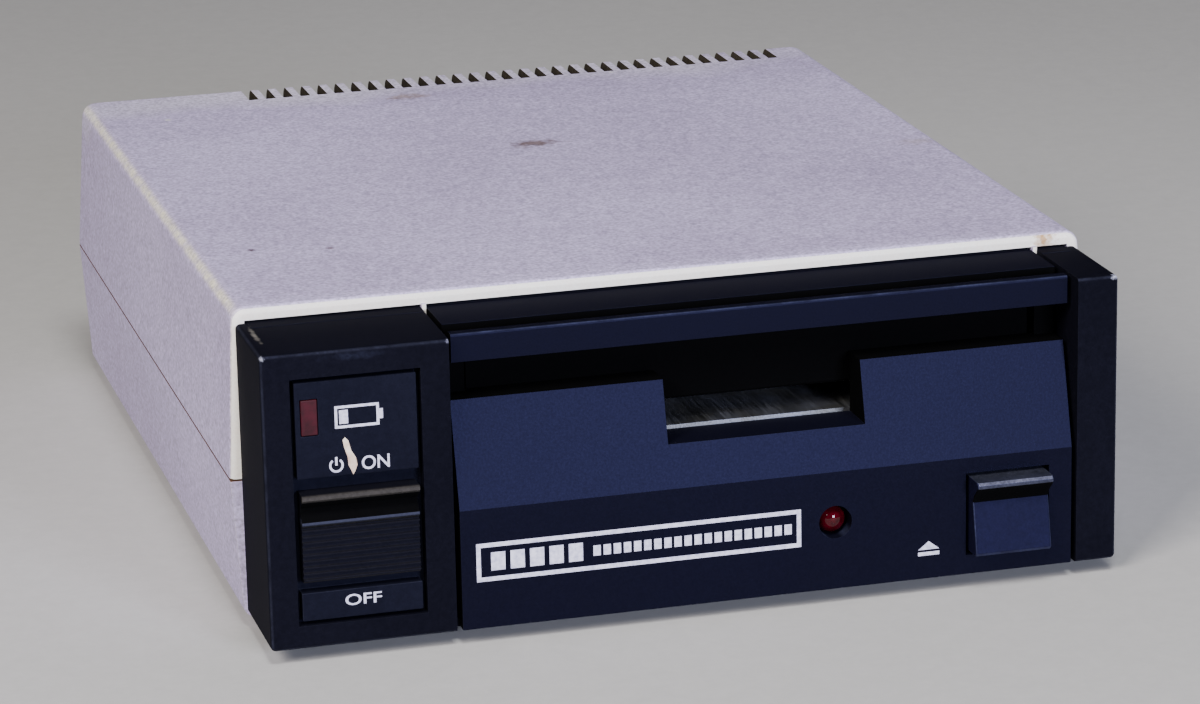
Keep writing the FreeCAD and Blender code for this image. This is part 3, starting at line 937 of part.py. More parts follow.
def make_switch_group():
    """Slide switch and low-battery lamp on their small upright board."""
    lever = block("lever_bar", ("knob_middle - lever_half", "knob_middle + lever_half"),
                  ("lever_front", "switch_front + lever_root"), ("lever_low", "lever_low + lever_tall"))
    place(lever, "switch_lever")
    case = block("switch_case", ("knob_middle - switch_half", "knob_middle + switch_half"),
                 ("switch_front", "switch_board_depth"), ("switch_low", "switch_low + switch_tall"))
    track = block("switch_track",
                  ("knob_middle - lever_half - lever_room", "knob_middle + lever_half + lever_room"),
                  ("switch_front - past", "switch_front + lever_root + track_gap"),
                  ("lever_low - track_room", "lever_low + lever_tall + track_room + knob_travel"))
    place(cut("power_switch", case, track), "power_switch")
    board = block("switch_board_blank",
                  ("switch_room_left + switch_board_gap", "switch_room_right - switch_board_gap"),
                  ("switch_board_depth", "switch_board_depth + board_sheet"),
                  ("rail_low - switch_board_lap", "rail_high + switch_board_lap"))
    holes = [rod(f"switch_board_hole_{number}", "y", "small_screw_radius", across,
                 ("switch_board_depth - past", "switch_board_depth + board_sheet + past"), tall)
             for number, (across, tall) in enumerate(SWITCH_BOARD_SCREWS)]
    place(cut("switch_board", board, *holes), "switch_board")
    lens = block("lens_bar", ("-lens_left", "-lens_left + lens_width"), ("lens_set_back", "lens_depth"),
                 ("lens_low", "lens_low + lens_tall"))
    place(lens, "low_battery_lens")
    lamp = block("low_lamp", ("-lens_left", "-lens_left + lens_width"), ("lens_depth", "switch_board_depth"),
                 ("lens_low + low_lamp_inset", "lens_low + lens_tall - low_lamp_inset"))
    place(lamp, "low_battery_lamp")


SWITCH_BOARD_SCREWS = [("switch_room_left + switch_screw_inset", "rail_low + switch_screw_rise"),
                       ("switch_room_right - switch_screw_inset", "rail_high - switch_screw_rise")]


# --- the drive's faceplate, flap, lamp and button -------------------------------------------------

def slope_at(tall):
    """How far the slope lies behind the front face at a height."""
    return f"slope_back * (({tall}) - crease_tall) / (slope_top - crease_tall)"


def make_faceplate():
    """Faceplate: flat foot, slope with a finger notch, and a channel-shaped bar over the disk slot."""
    body = doc.addObject("PartDesign::Body", "drive_faceplate")
    wide = ("plate_left", "plate_right")
    extrude(body, "lower_half", "YZ_Plane", wide,
            [("0", "plate_lift"), ("0", "crease_tall"), ("slope_back", "slope_top"),
             ("plate_depth", "slope_top"), ("plate_depth", "plate_foot"), ("plate_wall", "plate_foot"),
             ("plate_wall", "plate_lift")])
    extrude(body, "upper_channel", "YZ_Plane", wide,
            [("bar_front", "bar_low"), ("bar_front", "frame_tall"), ("bar_front + bar_sheet", "frame_tall"),
             ("bar_front + bar_sheet", "bar_low + bar_sheet"), ("groove_back", "bar_low + bar_sheet"),
             ("groove_back", "frame_tall"), ("frame_proud - plate_lift", "frame_tall"),
             ("frame_proud - plate_lift", "frame_tall - shelf_sheet"),
             ("groove_back + shelf_sheet", "frame_tall - shelf_sheet"),
             ("groove_back + shelf_sheet", "bar_low")])
    for name, left, right in (("rib_left", "plate_left", "plate_left + rib_width"),
                              ("rib_right", "plate_right - rib_width", "plate_right")):
        slab(body, name, (left, right), ("rib_front", "rib_back"), ("plate_foot", "frame_tall - shelf_sheet/2"))
    notch = [("-past", "notch_low"), ("plate_depth + past", "notch_low"),
             ("plate_depth + past", "slope_top + past"), ("-past", "slope_top + past")]
    extrude(body, "finger_notch", "YZ_Plane", ("notch_left", "notch_right"), notch, hollow=True)
    hollow_high = "slope_top - plate_wall"
    pocket = [("plate_wall", "pocket_low"), ("plate_wall", "crease_tall"),
              (f"plate_wall + {slope_at(hollow_high)}", hollow_high),
              ("plate_depth + past", hollow_high), ("plate_depth + past", "pocket_low")]
    under_notch = "notch_low - plate_wall"
    low_pocket = [("plate_wall", "pocket_low"), ("plate_wall", "crease_tall"),
                  (f"plate_wall + {slope_at(under_notch)}", under_notch),
                  ("plate_depth + past", under_notch), ("plate_depth + past", "pocket_low")]
    for name, left, right, shape in (
            ("hollow_left", "plate_left + rib_width", "notch_left - plate_wall", pocket),
            ("hollow_right", "notch_right + plate_wall", "plate_right - rib_width", pocket),
            ("hollow_middle", "notch_left - plate_wall - weld", "notch_right + plate_wall + weld", low_pocket)):
        extrude(body, name, "YZ_Plane", (left, right), shape, hollow=True)
    extrude(body, "lamp_boss", "XZ_Plane", ("plate_wall - weld", "lamp_back"),
            {"across": "lamp_right", "up": "lamp_tall", "radius": "lamp_hole_radius + lamp_boss_wall"})
    drill(body, "lamp_bore", "XZ_Plane", ("-past", "plate_depth + past"), "lamp_right", "lamp_tall",
          "lamp_hole_radius")
    slab(body, "button_hole", ("button_left - button_gap", "button_right + button_gap"),
         ("-past", "plate_wall + past"), ("button_low - button_gap", "button_top + button_gap"), hollow=True)
    drill(body, "pin_bore", "YZ_Plane", ("plate_left + flap_pin_inset", "plate_right - flap_pin_inset"),
          "flap_pin_back", "flap_pin_tall", "flap_pin_radius")
    doc.recompute()
    front = size("bar_front")
    tall = size("frame_tall")
    round_edges(body, "bar_rounding", "bar_edge",
                lambda e: lies_at(e, "y", front) and lies_at(e, "z", tall))
    place(body, "drive_faceplate")


def make_dust_flap():
    """Flap: a plate that hangs from its barrel behind the bar and closes the slot."""
    body = doc.addObject("PartDesign::Body", "dust_flap")
    wide = ("bay_middle - flap_width/2", "bay_middle + flap_width/2")
    extrude(body, "flap_plate", "YZ_Plane", wide,
            [("flap_front", "flap_low + flap_chamfer"), ("flap_front", "flap_pin_tall"),
             ("flap_front + flap_sheet", "flap_pin_tall"), ("flap_front + flap_sheet", "flap_low"),
             ("flap_front + flap_chamfer", "flap_low")])
    extrude(body, "flap_barrel", "YZ_Plane", wide,
            {"across": "flap_pin_back", "up": "flap_pin_tall", "radius": "flap_barrel_radius"})
    drill(body, "flap_bore", "YZ_Plane", (f"{wide[0]} - past", f"{wide[1]} + past"), "flap_pin_back",
          "flap_pin_tall", "flap_pin_radius + running_gap")
    slab(body, "spring_gap", ("bay_middle - flap_spring_room", "bay_middle + flap_spring_room"),
         ("flap_front - past", "flap_pin_back + flap_barrel_radius + past"),
         ("flap_pin_tall - flap_barrel_radius - weld", "flap_pin_tall + flap_barrel_radius + past"),
         hollow=True)
    place(body, "dust_flap")
    pin = rod("flap_pin_bar", "x", "flap_pin_radius",
              ("plate_left + flap_pin_inset", "plate_right - flap_pin_inset"), "flap_pin_back", "flap_pin_tall")
    place(pin, "flap_pin")


def coil(radius, wire, pitch, turns, leg=0.0):
    """A round-wire coil about the z axis, as a solid, which can end in a straight leg."""
    edges = Part.makeHelix(pitch, pitch * turns, radius).Edges
    if leg:
        last = edges[-1]
        end = last.valueAt(last.LastParameter)
        edges.append(Part.makeLine(end, end + last.tangentAt(last.LastParameter) * leg))
    section = Part.Wire(Part.makeCircle(wire, Vector(radius, 0, 0), Vector(0, 1, 0)))
    return Part.Wire(edges).makePipeShell([section], True, True)


def make_springs():
    """The eject spring, which closes up behind the lug as the button goes in."""
    radius = size("eject_spring_radius")
    wire = size("eject_spring_wire")
    length = size("eject_spring_length")
    turns = size("eject_spring_turns")
    spring = doc.addObject("Part::Feature", "eject_spring")
    spring.Shape = coil(radius, wire, (length - 2 * wire) / turns, turns)
    spring.Placement = Placement(Vector(), Rotation(Vector(1, 0, 0), -90))
    place(spring, "eject_spring", "spring_middle", "lug_front + slide_sheet + eject_spring_wire",
          "lug_low + lug_tall/2")
    radius = size("flap_spring_radius")
    wire = size("flap_spring_wire")
    turns = size("flap_spring_turns")
    flap_spring = doc.addObject("Part::Feature", "flap_spring")
    winding = coil(radius, wire, size("flap_spring_pitch"), turns, size("flap_spring_leg"))
    flap_spring.Shape = winding.mirror(Vector(), Vector(0, 1, 0))
    flap_spring.Placement = Placement(Vector(), Rotation(Vector(0, 0, 1), Vector(1, 0, 0)))
    place(flap_spring, "flap_spring", "bay_middle - flap_spring_pitch*flap_spring_turns/2",
          "flap_pin_back", "flap_pin_tall")


def make_lamp():
    """Activity lamp: a domed red lens with a flange, on a small board behind its boss."""
    body = turned("activity_lamp",
                  [("0", "lamp_set_back"), ("lamp_radius*0.5", "lamp_set_back + lamp_dome*0.14"),
                   ("lamp_radius*0.87", "lamp_set_back + lamp_dome*0.5"),
                   ("lamp_radius", "lamp_set_back + lamp_dome"), ("lamp_radius", "lamp_back - lamp_flange"),
                   ("lamp_hole_radius - lamp_gap", "lamp_back - lamp_flange"),
                   ("lamp_hole_radius - lamp_gap", "lamp_back"), ("0", "lamp_back")],
                  role="XY_Plane")
    place(body, "activity_lamp", "lamp_right", "0", "lamp_tall")
    board = block("lamp_board_sheet", ("lamp_right - lamp_board_half", "lamp_right + lamp_board_half"),
                  ("lamp_back", "lamp_back + board_sheet"),
                  ("lamp_tall - lamp_board_half", "lamp_tall + lamp_board_half"))
    place(board, "lamp_board")


def make_eject_button():
    """Button: a wedge with a finger ridge along its top, a flange behind the wall and a stem."""
    body = doc.addObject("PartDesign::Body", "eject_button")
    extrude(body, "button_wedge", "YZ_Plane", ("button_left", "button_right"),
            [("plate_wall + weld", "button_low"), ("-button_proud*0.72", "button_low"),
             ("-button_proud*0.8", "button_low + 0.5"), ("-button_proud*0.42", "button_top - 4.6"),
             ("-button_proud*0.38", "button_top - 3.9"), ("-button_proud*0.52", "button_top - 2.9"),
             ("-button_proud*0.92", "button_top - 1.4"), ("-button_proud", "button_top - 0.9"),
             ("-button_proud", "button_top - 0.4"), ("-button_proud + 0.4", "button_top"),
             ("plate_wall + weld", "button_top")])
    slab(body, "button_flange", ("button_left - button_catch", "button_right + button_catch"),
         ("plate_wall + flange_gap", "plate_wall + flange_gap + button_flange"),
         ("button_low + flange_gap", "button_top + button_catch"))
    slab(body, "button_stem", ("stem_left", "button_right - stem_margin"),
         ("plate_wall + flange_gap", "lug_front"),
         ("lug_low + stem_margin/2", "lug_low + lug_tall - stem_margin/2"))
    doc.recompute()
    sides = (size("button_left"), size("button_right"))
    round_edges(body, "button_rounding", "button_edge",
                lambda e: any(lies_at(e, "x", side) for side in sides) and span_of(e, "y")[1] < 0)
    place(body, "eject_button")


# --- cradle and eject plate -----------------------------------------------------------------------

def make_eject_plate():
    """Plate over the cradle, whose slanted slots lift the cradle's pins, and the button's lug."""
    outer = "slide_outer"
    long = ("slide_front", "slide_rear")
    top = block("slide_roof", (f"bay_middle - {outer}", f"bay_middle + {outer}"), long,
                ("slide_top", "slide_top + slide_sheet"))
    left = block("slide_left", (f"bay_middle - {outer}", "bay_middle - slide_half"), long,
                 ("slide_low", "slide_top + slide_sheet"))
    right = block("slide_right", ("bay_middle + slide_half", f"bay_middle + {outer}"), long,
                  ("slide_low", "slide_top + slide_sheet"))
    arm = block("lug_arm", ("bay_middle + slide_half", f"bay_middle + {outer}"),
                ("lug_front", "lug_back"), ("lug_low", "slide_low + lug_overlap/2"))
    lug = block("lug_face", ("stem_left", f"bay_middle + {outer}"),
                ("lug_front", "lug_front + slide_sheet"), ("lug_low", "lug_low + lug_tall"))
    window = block("slide_window", ("bay_middle - head_window/2", "bay_middle + head_window/2"),
                   ("window_front", "slide_rear + past"),
                   ("slide_top - past", "slide_top + slide_sheet + past"))
    hollows = [block(f"slide_lightening_{number}", (f"bay_middle {low}", f"bay_middle {high}"),
                     ("slide_front + hollow_front", "slide_rear - hollow_rear"),
                     ("slide_top - past", "slide_top + slide_sheet + past"))
               for number, (low, high) in enumerate((("- hollow_far", "- hollow_near"),
                                                     ("+ hollow_near", "+ hollow_far")))]
    slots = []
    for number, (side, back) in enumerate(CORNERS):
        middle = f"bay_middle + {side} * (slide_half + slide_sheet/2)"
        slots.append(slanted_slot(f"ramp_{number}", middle, f"pin_{back}"))
    plate = joined("eject_plate_solid", top, left, right, arm, lug)
    place(cut("eject_plate", plate, window, *hollows, *slots), "eject_plate")


def slanted_slot(name, across, back):
    """Room for a pin that climbs at 45 degrees as the plate goes back."""
    slot = doc.addObject("Part::Box", name)
    slot.Placement = Placement(Vector(), Rotation(Vector(1, 0, 0), 45))
    reach = "(button_travel * sqrt(2) + 2 * pin_slot + 2 * slot_end_gap)"
    bind(slot, {"Length": "slide_sheet + 2 * past", "Width": "2 * pin_slot", "Height": reach})
    drop = "(pin_slot + slot_end_gap) / sqrt(2)"
    half = "pin_slot / sqrt(2)"
    return bind(slot, {"Placement.Base.x": f"{across} - slide_sheet/2 - past",
                       "Placement.Base.y": f"{back} + {drop} - {half}",
                       "Placement.Base.z": f"pin_tall - {drop} - {half}"})


def make_cradle():
    """Cradle: a channel of sheet steel that holds the disk by its long sides."""
    outer = "cradle_outer"
    long = ("cradle_front", "cradle_rear")
    pieces = [block("cradle_cover", (f"bay_middle - {outer}", f"bay_middle + {outer}"), long,
                    ("cradle_roof", "cradle_roof + steel_sheet"))]
    for name, side in (("left", "-"), ("right", "+")):
        near = f"bay_middle {side} {outer}"
        far = f"bay_middle {side} cradle_half"
        lip = f"bay_middle {side} (cradle_half - cradle_lip)"
        wall = (near, far) if side == "-" else (far, near)
        ledge = (near, lip) if side == "-" else (lip, near)
        pieces.append(block(f"cradle_wall_{name}", wall, long, ("cradle_low", "cradle_roof + steel_sheet")))
        pieces.append(block(f"cradle_lip_{name}", ledge, long, ("cradle_low", "cradle_low + steel_sheet")))
        stop_low, stop_high = ("- stop_far", "- stop_near") if side == "-" else ("+ stop_near", "+ stop_far")
        pieces.append(block(f"cradle_stop_{name}", (f"bay_middle {stop_low}", f"bay_middle {stop_high}"),
                            ("disk_rear + stop_gap", "cradle_rear"), ("disk_low", "cradle_roof + weld/2")))
    window = block("cradle_window", ("bay_middle - head_window/2", "bay_middle + head_window/2"),
                   ("window_front", "cradle_rear + past"),
                   ("cradle_roof - past", "cradle_roof + steel_sheet + past"))
    hub_hole = rod("cradle_hub_hole", "z", "hub_radius + hub_room", "bay_middle", "spindle_back",
                   ("cradle_roof - past", "cradle_roof + steel_sheet + past"))
    place(cut("disk_cradle", joined("cradle_solid", *pieces), window, hub_hole), "disk_cradle")
    pins = []
    for number, (side, back) in enumerate(CORNERS):
        near = f"bay_middle {'-' if side < 0 else '+'} {outer}"
        far = f"bay_middle {'-' if side < 0 else '+'} (chassis_half - pin_end_gap)"
        pins.append(rod(f"cradle_pin_{number}", "x", "pin_radius", (far, near) if side < 0 else (near, far),
                        f"pin_{back}", "pin_tall"))
    place(together("cradle_pins", *pins), "cradle_pins")


# --- the chassis ----------------------------------------------------------------------------------

def make_chassis():
    """Chassis: a deck between two sides with feet, and a rear wall that carries the stepper motor."""
    pieces = [
        block("deck", ("bay_middle - chassis_half", "bay_middle + chassis_half"), ("rib_back", "deck_rear"),
              ("deck_low", "deck_top")),
        block("deck_tongue", ("plate_left + rib_width + tongue_gap", "plate_right - rib_width - tongue_gap"),
              ("plate_depth + deck_gap", "rib_back + past"), ("deck_low", "deck_top")),
        block("spring_tab", ("spring_middle - spring_tab_width/2", "spring_middle + spring_tab_width/2"),
              ("spring_back", "spring_back + chassis_sheet"), ("lug_low", "deck_low + weld")),
        block("rear_wall", ("bay_middle - chassis_inner", "bay_middle + chassis_inner"),
              ("deck_rear", "stepper_front"), ("chassis_low + rear_wall_gap", "deck_top + rear_wall_rise")),
    ]
    for name, side in (("left", "-"), ("right", "+")):
        near = f"bay_middle {side} chassis_half"
        far = f"bay_middle {side} chassis_inner"
        toe = f"bay_middle {side} (chassis_half - chassis_foot)"
        wall = (near, far) if side == "-" else (far, near)
        foot = (near, toe) if side == "-" else (toe, near)
        pieces.append(block(f"chassis_side_{name}", wall, ("rib_back", "deck_rear + side_tail"),
                            ("chassis_low", "chassis_top")))
        for back in ("front", "rear"):
            pieces.append(block(f"chassis_foot_{name}_{back}", foot,
                                (f"post_{back} - chassis_foot_half", f"post_{back} + chassis_foot_half"),
                                ("chassis_low", "chassis_low + chassis_sheet")))
    holes = [
        rod("bearing_hole", "z", "bearing_radius", "bay_middle", "spindle_back",
            ("deck_low - past", "deck_top + past")),
        block("carriage_window", ("bay_middle - window_half", "bay_middle + window_half"),
              ("bracket_front + bracket_sheet", "deck_rear - window_margin"),
              ("deck_low - past", "deck_top + past")),
        block("lug_window", ("bay_middle + slide_half - lug_room", "bay_middle + slide_outer + lug_room"),
              ("lug_front - lug_room", "lug_back + button_travel + lug_room"),
              ("deck_low - past", "deck_top + past")),
        rod("screw_hole", "y", "screw_radius + screw_room", "bay_middle",
            ("deck_rear - past", "stepper_front + past"), "screw_tall"),
    ]
    for number, (side, back) in enumerate(CORNERS):
        wall = f"bay_middle + {side} * (chassis_half - chassis_sheet/2)"
        holes.append(block(f"pin_guide_{number}", (f"{wall} - chassis_sheet", f"{wall} + chassis_sheet"),
                           (f"pin_{back} - pin_slot", f"pin_{back} + pin_slot"),
                           ("pin_tall - pin_slot - slot_end_gap",
                            "pin_tall + button_travel + pin_slot + slot_end_gap")))
        holes.append(rod(f"chassis_hole_{number}", "z", "small_screw_radius",
                         f"bay_middle + {side} * chassis_screw_half", f"post_{back}",
                         ("chassis_low - past", "chassis_low + chassis_sheet + past")))
    for name, side in (("left", "-"), ("right", "+")):
        holes.append(rod(f"rod_hole_{name}", "y", "rod_radius", f"bay_middle {side} rod_half",
                         ("deck_rear - past", "stepper_front + past"), "screw_tall"))
    place(cut("drive_chassis", joined("chassis_solid", *pieces), *holes), "drive_chassis")


# --- spindle, belt and motor ----------------------------------------------------------------------

def make_spindle():
    hub = turned("spindle_hub",
                 [("shaft_radius", "hub_top - hub_sheet"), ("hub_radius", "hub_top - hub_sheet"),
                  ("hub_radius", "hub_top - hub_chamfer"), ("hub_radius - hub_chamfer", "hub_top"),
                  ("shaft_radius", "hub_top")])
    place(hub, "spindle_hub", "bay_middle", "spindle_back")
    shaft = turned("spindle_shaft",
                   [("0", "pulley_low"), ("shaft_radius", "pulley_low"),
                    ("shaft_radius", "hub_top + shaft_tip/2"), ("shaft_radius*0.75", "hub_top + shaft_tip"),
                    ("0", "hub_top + shaft_tip")])
    place(shaft, "spindle_shaft", "bay_middle", "spindle_back")
    bearing = turned("spindle_bearing",
                     [("shaft_radius + running_gap", "deck_low - bearing_drop"),
                      ("bearing_radius", "deck_low - bearing_drop"), ("bearing_radius", "deck_top"),
                      ("bearing_flange", "deck_top"), ("bearing_flange", "deck_top + chassis_sheet"),
                      ("shaft_radius + running_gap", "deck_top + chassis_sheet")])
    place(bearing, "spindle_bearing", "bay_middle", "spindle_back")
    place(pulley("spindle_pulley", "spindle_pulley_radius", "shaft_radius"), "spindle_pulley",
          "bay_middle", "spindle_back")


def pulley(name, radius, bore):
    """A pulley with a low rim above and below its belt."""
    rim = f"{radius} + pulley_rim"
    return turned(name,
                  [(bore, "pulley_low"), (rim, "pulley_low"), (rim, "pulley_low + pulley_rim_sheet"),
                   (radius, "pulley_low + pulley_rim_sheet"),
                   (radius, "pulley_low + pulley_tall - pulley_rim_sheet"),
                   (rim, "pulley_low + pulley_tall - pulley_rim_sheet"),
                   (rim, "pulley_low + pulley_tall"), (bore, "pulley_low + pulley_tall")])


def make_motor():
    body = turned("drive_motor",
                  [("motor_shaft_radius + running_gap", "motor_low"), ("motor_collar", "motor_low"),
                   ("motor_collar", "motor_low + collar_tall"),
                   ("motor_radius - collar_tall", "motor_low + collar_tall"),
                   ("motor_radius", "motor_low + 2*collar_tall"), ("motor_radius", "deck_low"),
                   ("motor_shaft_radius + running_gap", "deck_low")])
    place(body, "drive_motor", "bay_middle", "motor_front")
    shaft = rod("motor_shaft_bar", "z", "motor_shaft_radius", "bay_middle", "motor_front",
                ("pulley_low", "deck_low - shaft_end_gap"))
    place(shaft, "motor_shaft")
    place(pulley("motor_pulley", "motor_pulley_radius", "motor_shaft_radius"), "motor_pulley",
          "bay_middle", "motor_front")


def make_belt():
    """Flat belt: the outline of both pulleys and their common tangents, less the same one inside."""
    body = doc.addObject("PartDesign::Body", "drive_belt")
    middle = "pulley_low + pulley_tall/2"
    span = (f"{middle} - belt_width/2", f"{middle} + belt_width/2")
    for suffix, grow, hollow in (("outer", "belt_gap + belt_sheet", False), ("inner", "belt_gap", True)):
        big = f"(spindle_pulley_radius + {grow})"
        small = f"(motor_pulley_radius + {grow})"
        apart = "(spindle_back - motor_front)"
        lean = f"((spindle_pulley_radius - motor_pulley_radius) / {apart})"
        reach = f"sqrt(1 - {lean}^2)"
        quad = [(f"bay_middle - {small}*{reach}", f"motor_front - {small}*{lean}"),
                (f"bay_middle + {small}*{reach}", f"motor_front - {small}*{lean}"),
                (f"bay_middle + {big}*{reach}", f"spindle_back - {big}*{lean}"),
                (f"bay_middle - {big}*{reach}", f"spindle_back - {big}*{lean}")]
        extrude(body, f"belt_run_{suffix}", "XY_Plane", span, quad, hollow=hollow)
        for name, back, radius in (("small", "motor_front", small), ("big", "spindle_back", big)):
            extrude(body, f"belt_{name}_{suffix}", "XY_Plane", span,
                    {"across": "bay_middle", "up": back, "radius": radius}, hollow=hollow)
    place(body, "drive_belt")


# --- head carriage and stepper --------------------------------------------------------------------

def make_carriage():
    along = ("carriage_front", "carriage_rear")
    through = ("carriage_front - past", "carriage_rear + past")
    base = block("carriage_base", ("bay_middle - rod_half - rod_wall", "bay_middle + rod_half + rod_wall"),
                 along, ("screw_tall - carriage_half_tall", "carriage_top"))
    tower = block("carriage_tower", ("bay_middle - tower_half", "bay_middle + tower_half"),
                  ("carriage_front", "head_rest + carriage_nose"),
                  ("carriage_top - weld", "disk_low - tower_drop"))
    cheeks = [block(f"carriage_cheek_{name}", (f"bay_middle {low}", f"bay_middle {high}"),
                    ("arm_back - cheek_front", "carriage_rear"),
                    ("carriage_top - weld", "arm_pin_tall + cheek_rise"))
              for name, low, high in (("left", "- cheek_outer", "- cheek_inner"),
                                      ("right", "+ cheek_inner", "+ cheek_outer"))]
    bores = [rod("carriage_screw_bore", "y", "screw_radius + running_gap", "bay_middle", through, "screw_tall")]
    for name, side in (("left", "-"), ("right", "+")):
        bores.append(rod(f"carriage_rod_bore_{name}", "y", "rod_radius + running_gap",
                         f"bay_middle {side} rod_half", through, "screw_tall"))
    bores.append(rod("carriage_pin_bore", "x", "arm_pin_radius",
                     ("bay_middle - cheek_outer - past", "bay_middle + cheek_outer + past"),
                     "arm_back", "arm_pin_tall"))
    place(cut("head_carriage", joined("carriage_solid", base, tower, *cheeks), *bores), "head_carriage")
    head = block("head_block", ("bay_middle - head_half", "bay_middle + head_half"),
                 ("head_rest - head_half", "head_rest + head_half"),
                 ("disk_low - tower_drop", "disk_low - head_gap"))
    place(head, "read_head")
    beam = block("arm_beam", ("bay_middle - arm_half", "bay_middle + arm_half"),
                 ("head_rest - arm_nose", "arm_back + arm_tail"), ("arm_tall", "arm_tall + arm_sheet"))
    pad = rod("arm_pad", "z", "arm_pad_radius", "bay_middle", "head_rest",
              ("disk_low + arm_pad_gap", "arm_tall + weld"))
    bore = rod("arm_bore", "x", "arm_pin_radius + running_gap",
               ("bay_middle - arm_half - past", "bay_middle + arm_half + past"), "arm_back", "arm_pin_tall")
    place(cut("pressure_arm", joined("arm_solid", beam, pad), bore), "pressure_arm")
    pin = rod("arm_pin_bar", "x", "arm_pin_radius", ("bay_middle - cheek_outer", "bay_middle + cheek_outer"),
              "arm_back", "arm_pin_tall")
    place(pin, "arm_pin")


def make_screw_drive():
    rods = [rod(f"guide_rod_{name}", "y", "rod_radius", f"bay_middle {side} rod_half",
                ("bracket_front", "stepper_front"), "screw_tall")
            for name, side in (("left", "-"), ("right", "+"))]
    place(together("guide_rods", *rods), "guide_rods")
    through = ("bracket_front - past", "bracket_front + bracket_sheet + past")
    plate = block("bracket_plate",
                  ("bay_middle - rod_half - bracket_margin", "bay_middle + rod_half + bracket_margin"),
                  ("bracket_front", "bracket_front + bracket_sheet"), ("screw_tall - bracket_drop", "deck_low"))
    holes = [rod("bracket_screw_hole", "y", "screw_radius + running_gap", "bay_middle", through, "screw_tall")]
    for name, side in (("left", "-"), ("right", "+")):
        holes.append(rod(f"bracket_rod_hole_{name}", "y", "rod_radius", f"bay_middle {side} rod_half", through,
                         "screw_tall"))
    place(cut("screw_bracket", plate, *holes), "screw_bracket")
    screw = rod("lead_screw_bar", "y", "screw_radius", "bay_middle",
                ("bracket_front", "stepper_front + screw_end"), "screw_tall")
    place(screw, "lead_screw")
    can = rod("stepper_can", "y", "stepper_radius", "bay_middle",
              ("stepper_front", "stepper_front + stepper_long"), "screw_tall")
    flange = block("stepper_flange", ("bay_middle - stepper_flange_half", "bay_middle + stepper_flange_half"),
                   ("stepper_front", "stepper_front + stepper_flange_sheet"),
                   ("screw_tall - stepper_flange_low", "screw_tall + stepper_flange_low"))
    bore = rod("stepper_bore", "y", "screw_radius + running_gap", "bay_middle",
               ("stepper_front - past", "stepper_front + screw_end + past"), "screw_tall")
    place(cut("stepper_motor", joined("stepper_solid", can, flange), bore), "stepper_motor")


# --- electronics ----------------------------------------------------------------------------------

# Middle, width and depth of each chip, and middle, radius and height of each capacitor, in steps of
# the board's grid: across from the bay's middle, and back from the board's front or rear edge.
CHIPS = [(-22, "front", 16, 28, 9), (18, "front", 16, 28, 9), (-22, "front", 36, 36, 14),
         (20, "front", 38, 20, 14), (-20, "front", 62, 20, 7), (8, "front", 62, 20, 7),
         (-16, "rear", -14, 18, 7)]
CAPACITORS = [(-36, -16, 4, 11), (14, -14, 3.2, 9), (22, -14, 2.5, 7)]


def make_electronics():
    board = block("main_board_blank", ("bay_middle - main_board_half", "bay_middle + main_board_half"),
                  ("main_board_front", "main_board_rear"), ("main_board_low", "board_top"))
    holes = [rod(f"board_hole_{number}", "z", "small_screw_radius", across, back,
                 ("main_board_low - past", "board_top + past"))
             for number, (across, back) in enumerate(BOARD_SCREWS)]
    place(cut("main_board", board, *holes), "main_board")
    chips = []
    for number, (across, edge, back, wide, deep) in enumerate(CHIPS):
        middle = (f"bay_middle + {across}*board_grid", f"main_board_{edge} + {back}*board_grid")
        chips.append(block(f"chip_{number}",
                           (f"{middle[0]} - {wide/2}*board_grid", f"{middle[0]} + {wide/2}*board_grid"),
                           (f"{middle[1]} - {deep/2}*board_grid", f"{middle[1]} + {deep/2}*board_grid"),
                           ("board_top", "board_top + chip_tall")))
    place(together("board_chips", *chips), "board_chips")
    cans = [rod(f"capacitor_{number}", "z", f"{radius}*board_grid", f"bay_middle + {across}*board_grid",
                f"main_board_rear + {back}*board_grid", ("board_top", f"board_top + {tall}*board_grid"))
            for number, (across, back, radius, tall) in enumerate(CAPACITORS)]
    place(together("board_capacitors", *cans), "board_capacitors")


def make_sockets():
    body = block("jack_block", ("jack_right - jack_body/2", "jack_right + jack_body/2"),
                 ("rear_inside - socket_depth", "rear_inside"), ("board_top", "board_top + jack_body"))
    mouth = "rear_inside + jack_collar_long"
    collar = rod("jack_collar", "y", "jack_collar_radius", "jack_right", ("rear_inside - past", mouth),
                 "jack_tall")
    bore = rod("jack_bore", "y", "jack_bore_radius", "jack_right",
               (f"{mouth} - jack_bore_long", f"{mouth} + past"), "jack_tall")
    place(cut("dc_jack_solid", joined("jack_body_solid", body, collar), bore), "dc_jack")
    shell = block("port_block", ("port_left", "port_right"), ("rear_inside - socket_depth", "rear_inside"),
                  ("board_top", "board_top + port_tall"))
    mouth = block("port_mouth", ("port_left + port_wall", "port_right - port_wall"),
                  ("rear_inside - port_deep", "rear_inside + past"),
                  ("board_top + port_wall", "board_top + port_tall - port_wall"))
    place(cut("data_connector", shell, mouth), "data_connector")
    pins = []
    for number in range(int(size("port_pin_count"))):
        across = f"(port_left + port_right)/2 + ({number} - (port_pin_count - 1)/2) * port_pin_pitch"
        pins.append(block(f"port_pin_{number}", (f"{across} - port_pin_half", f"{across} + port_pin_half"),
                          ("rear_inside - port_deep", "rear_inside - port_deep + port_pin_long"),
                          ("board_top + port_tall/2 - port_pin_half",
                           "board_top + port_tall/2 + port_pin_half")))
    place(together("connector_pins", *pins), "connector_pins")


# --- batteries ------------------------------------------------------------------------------------

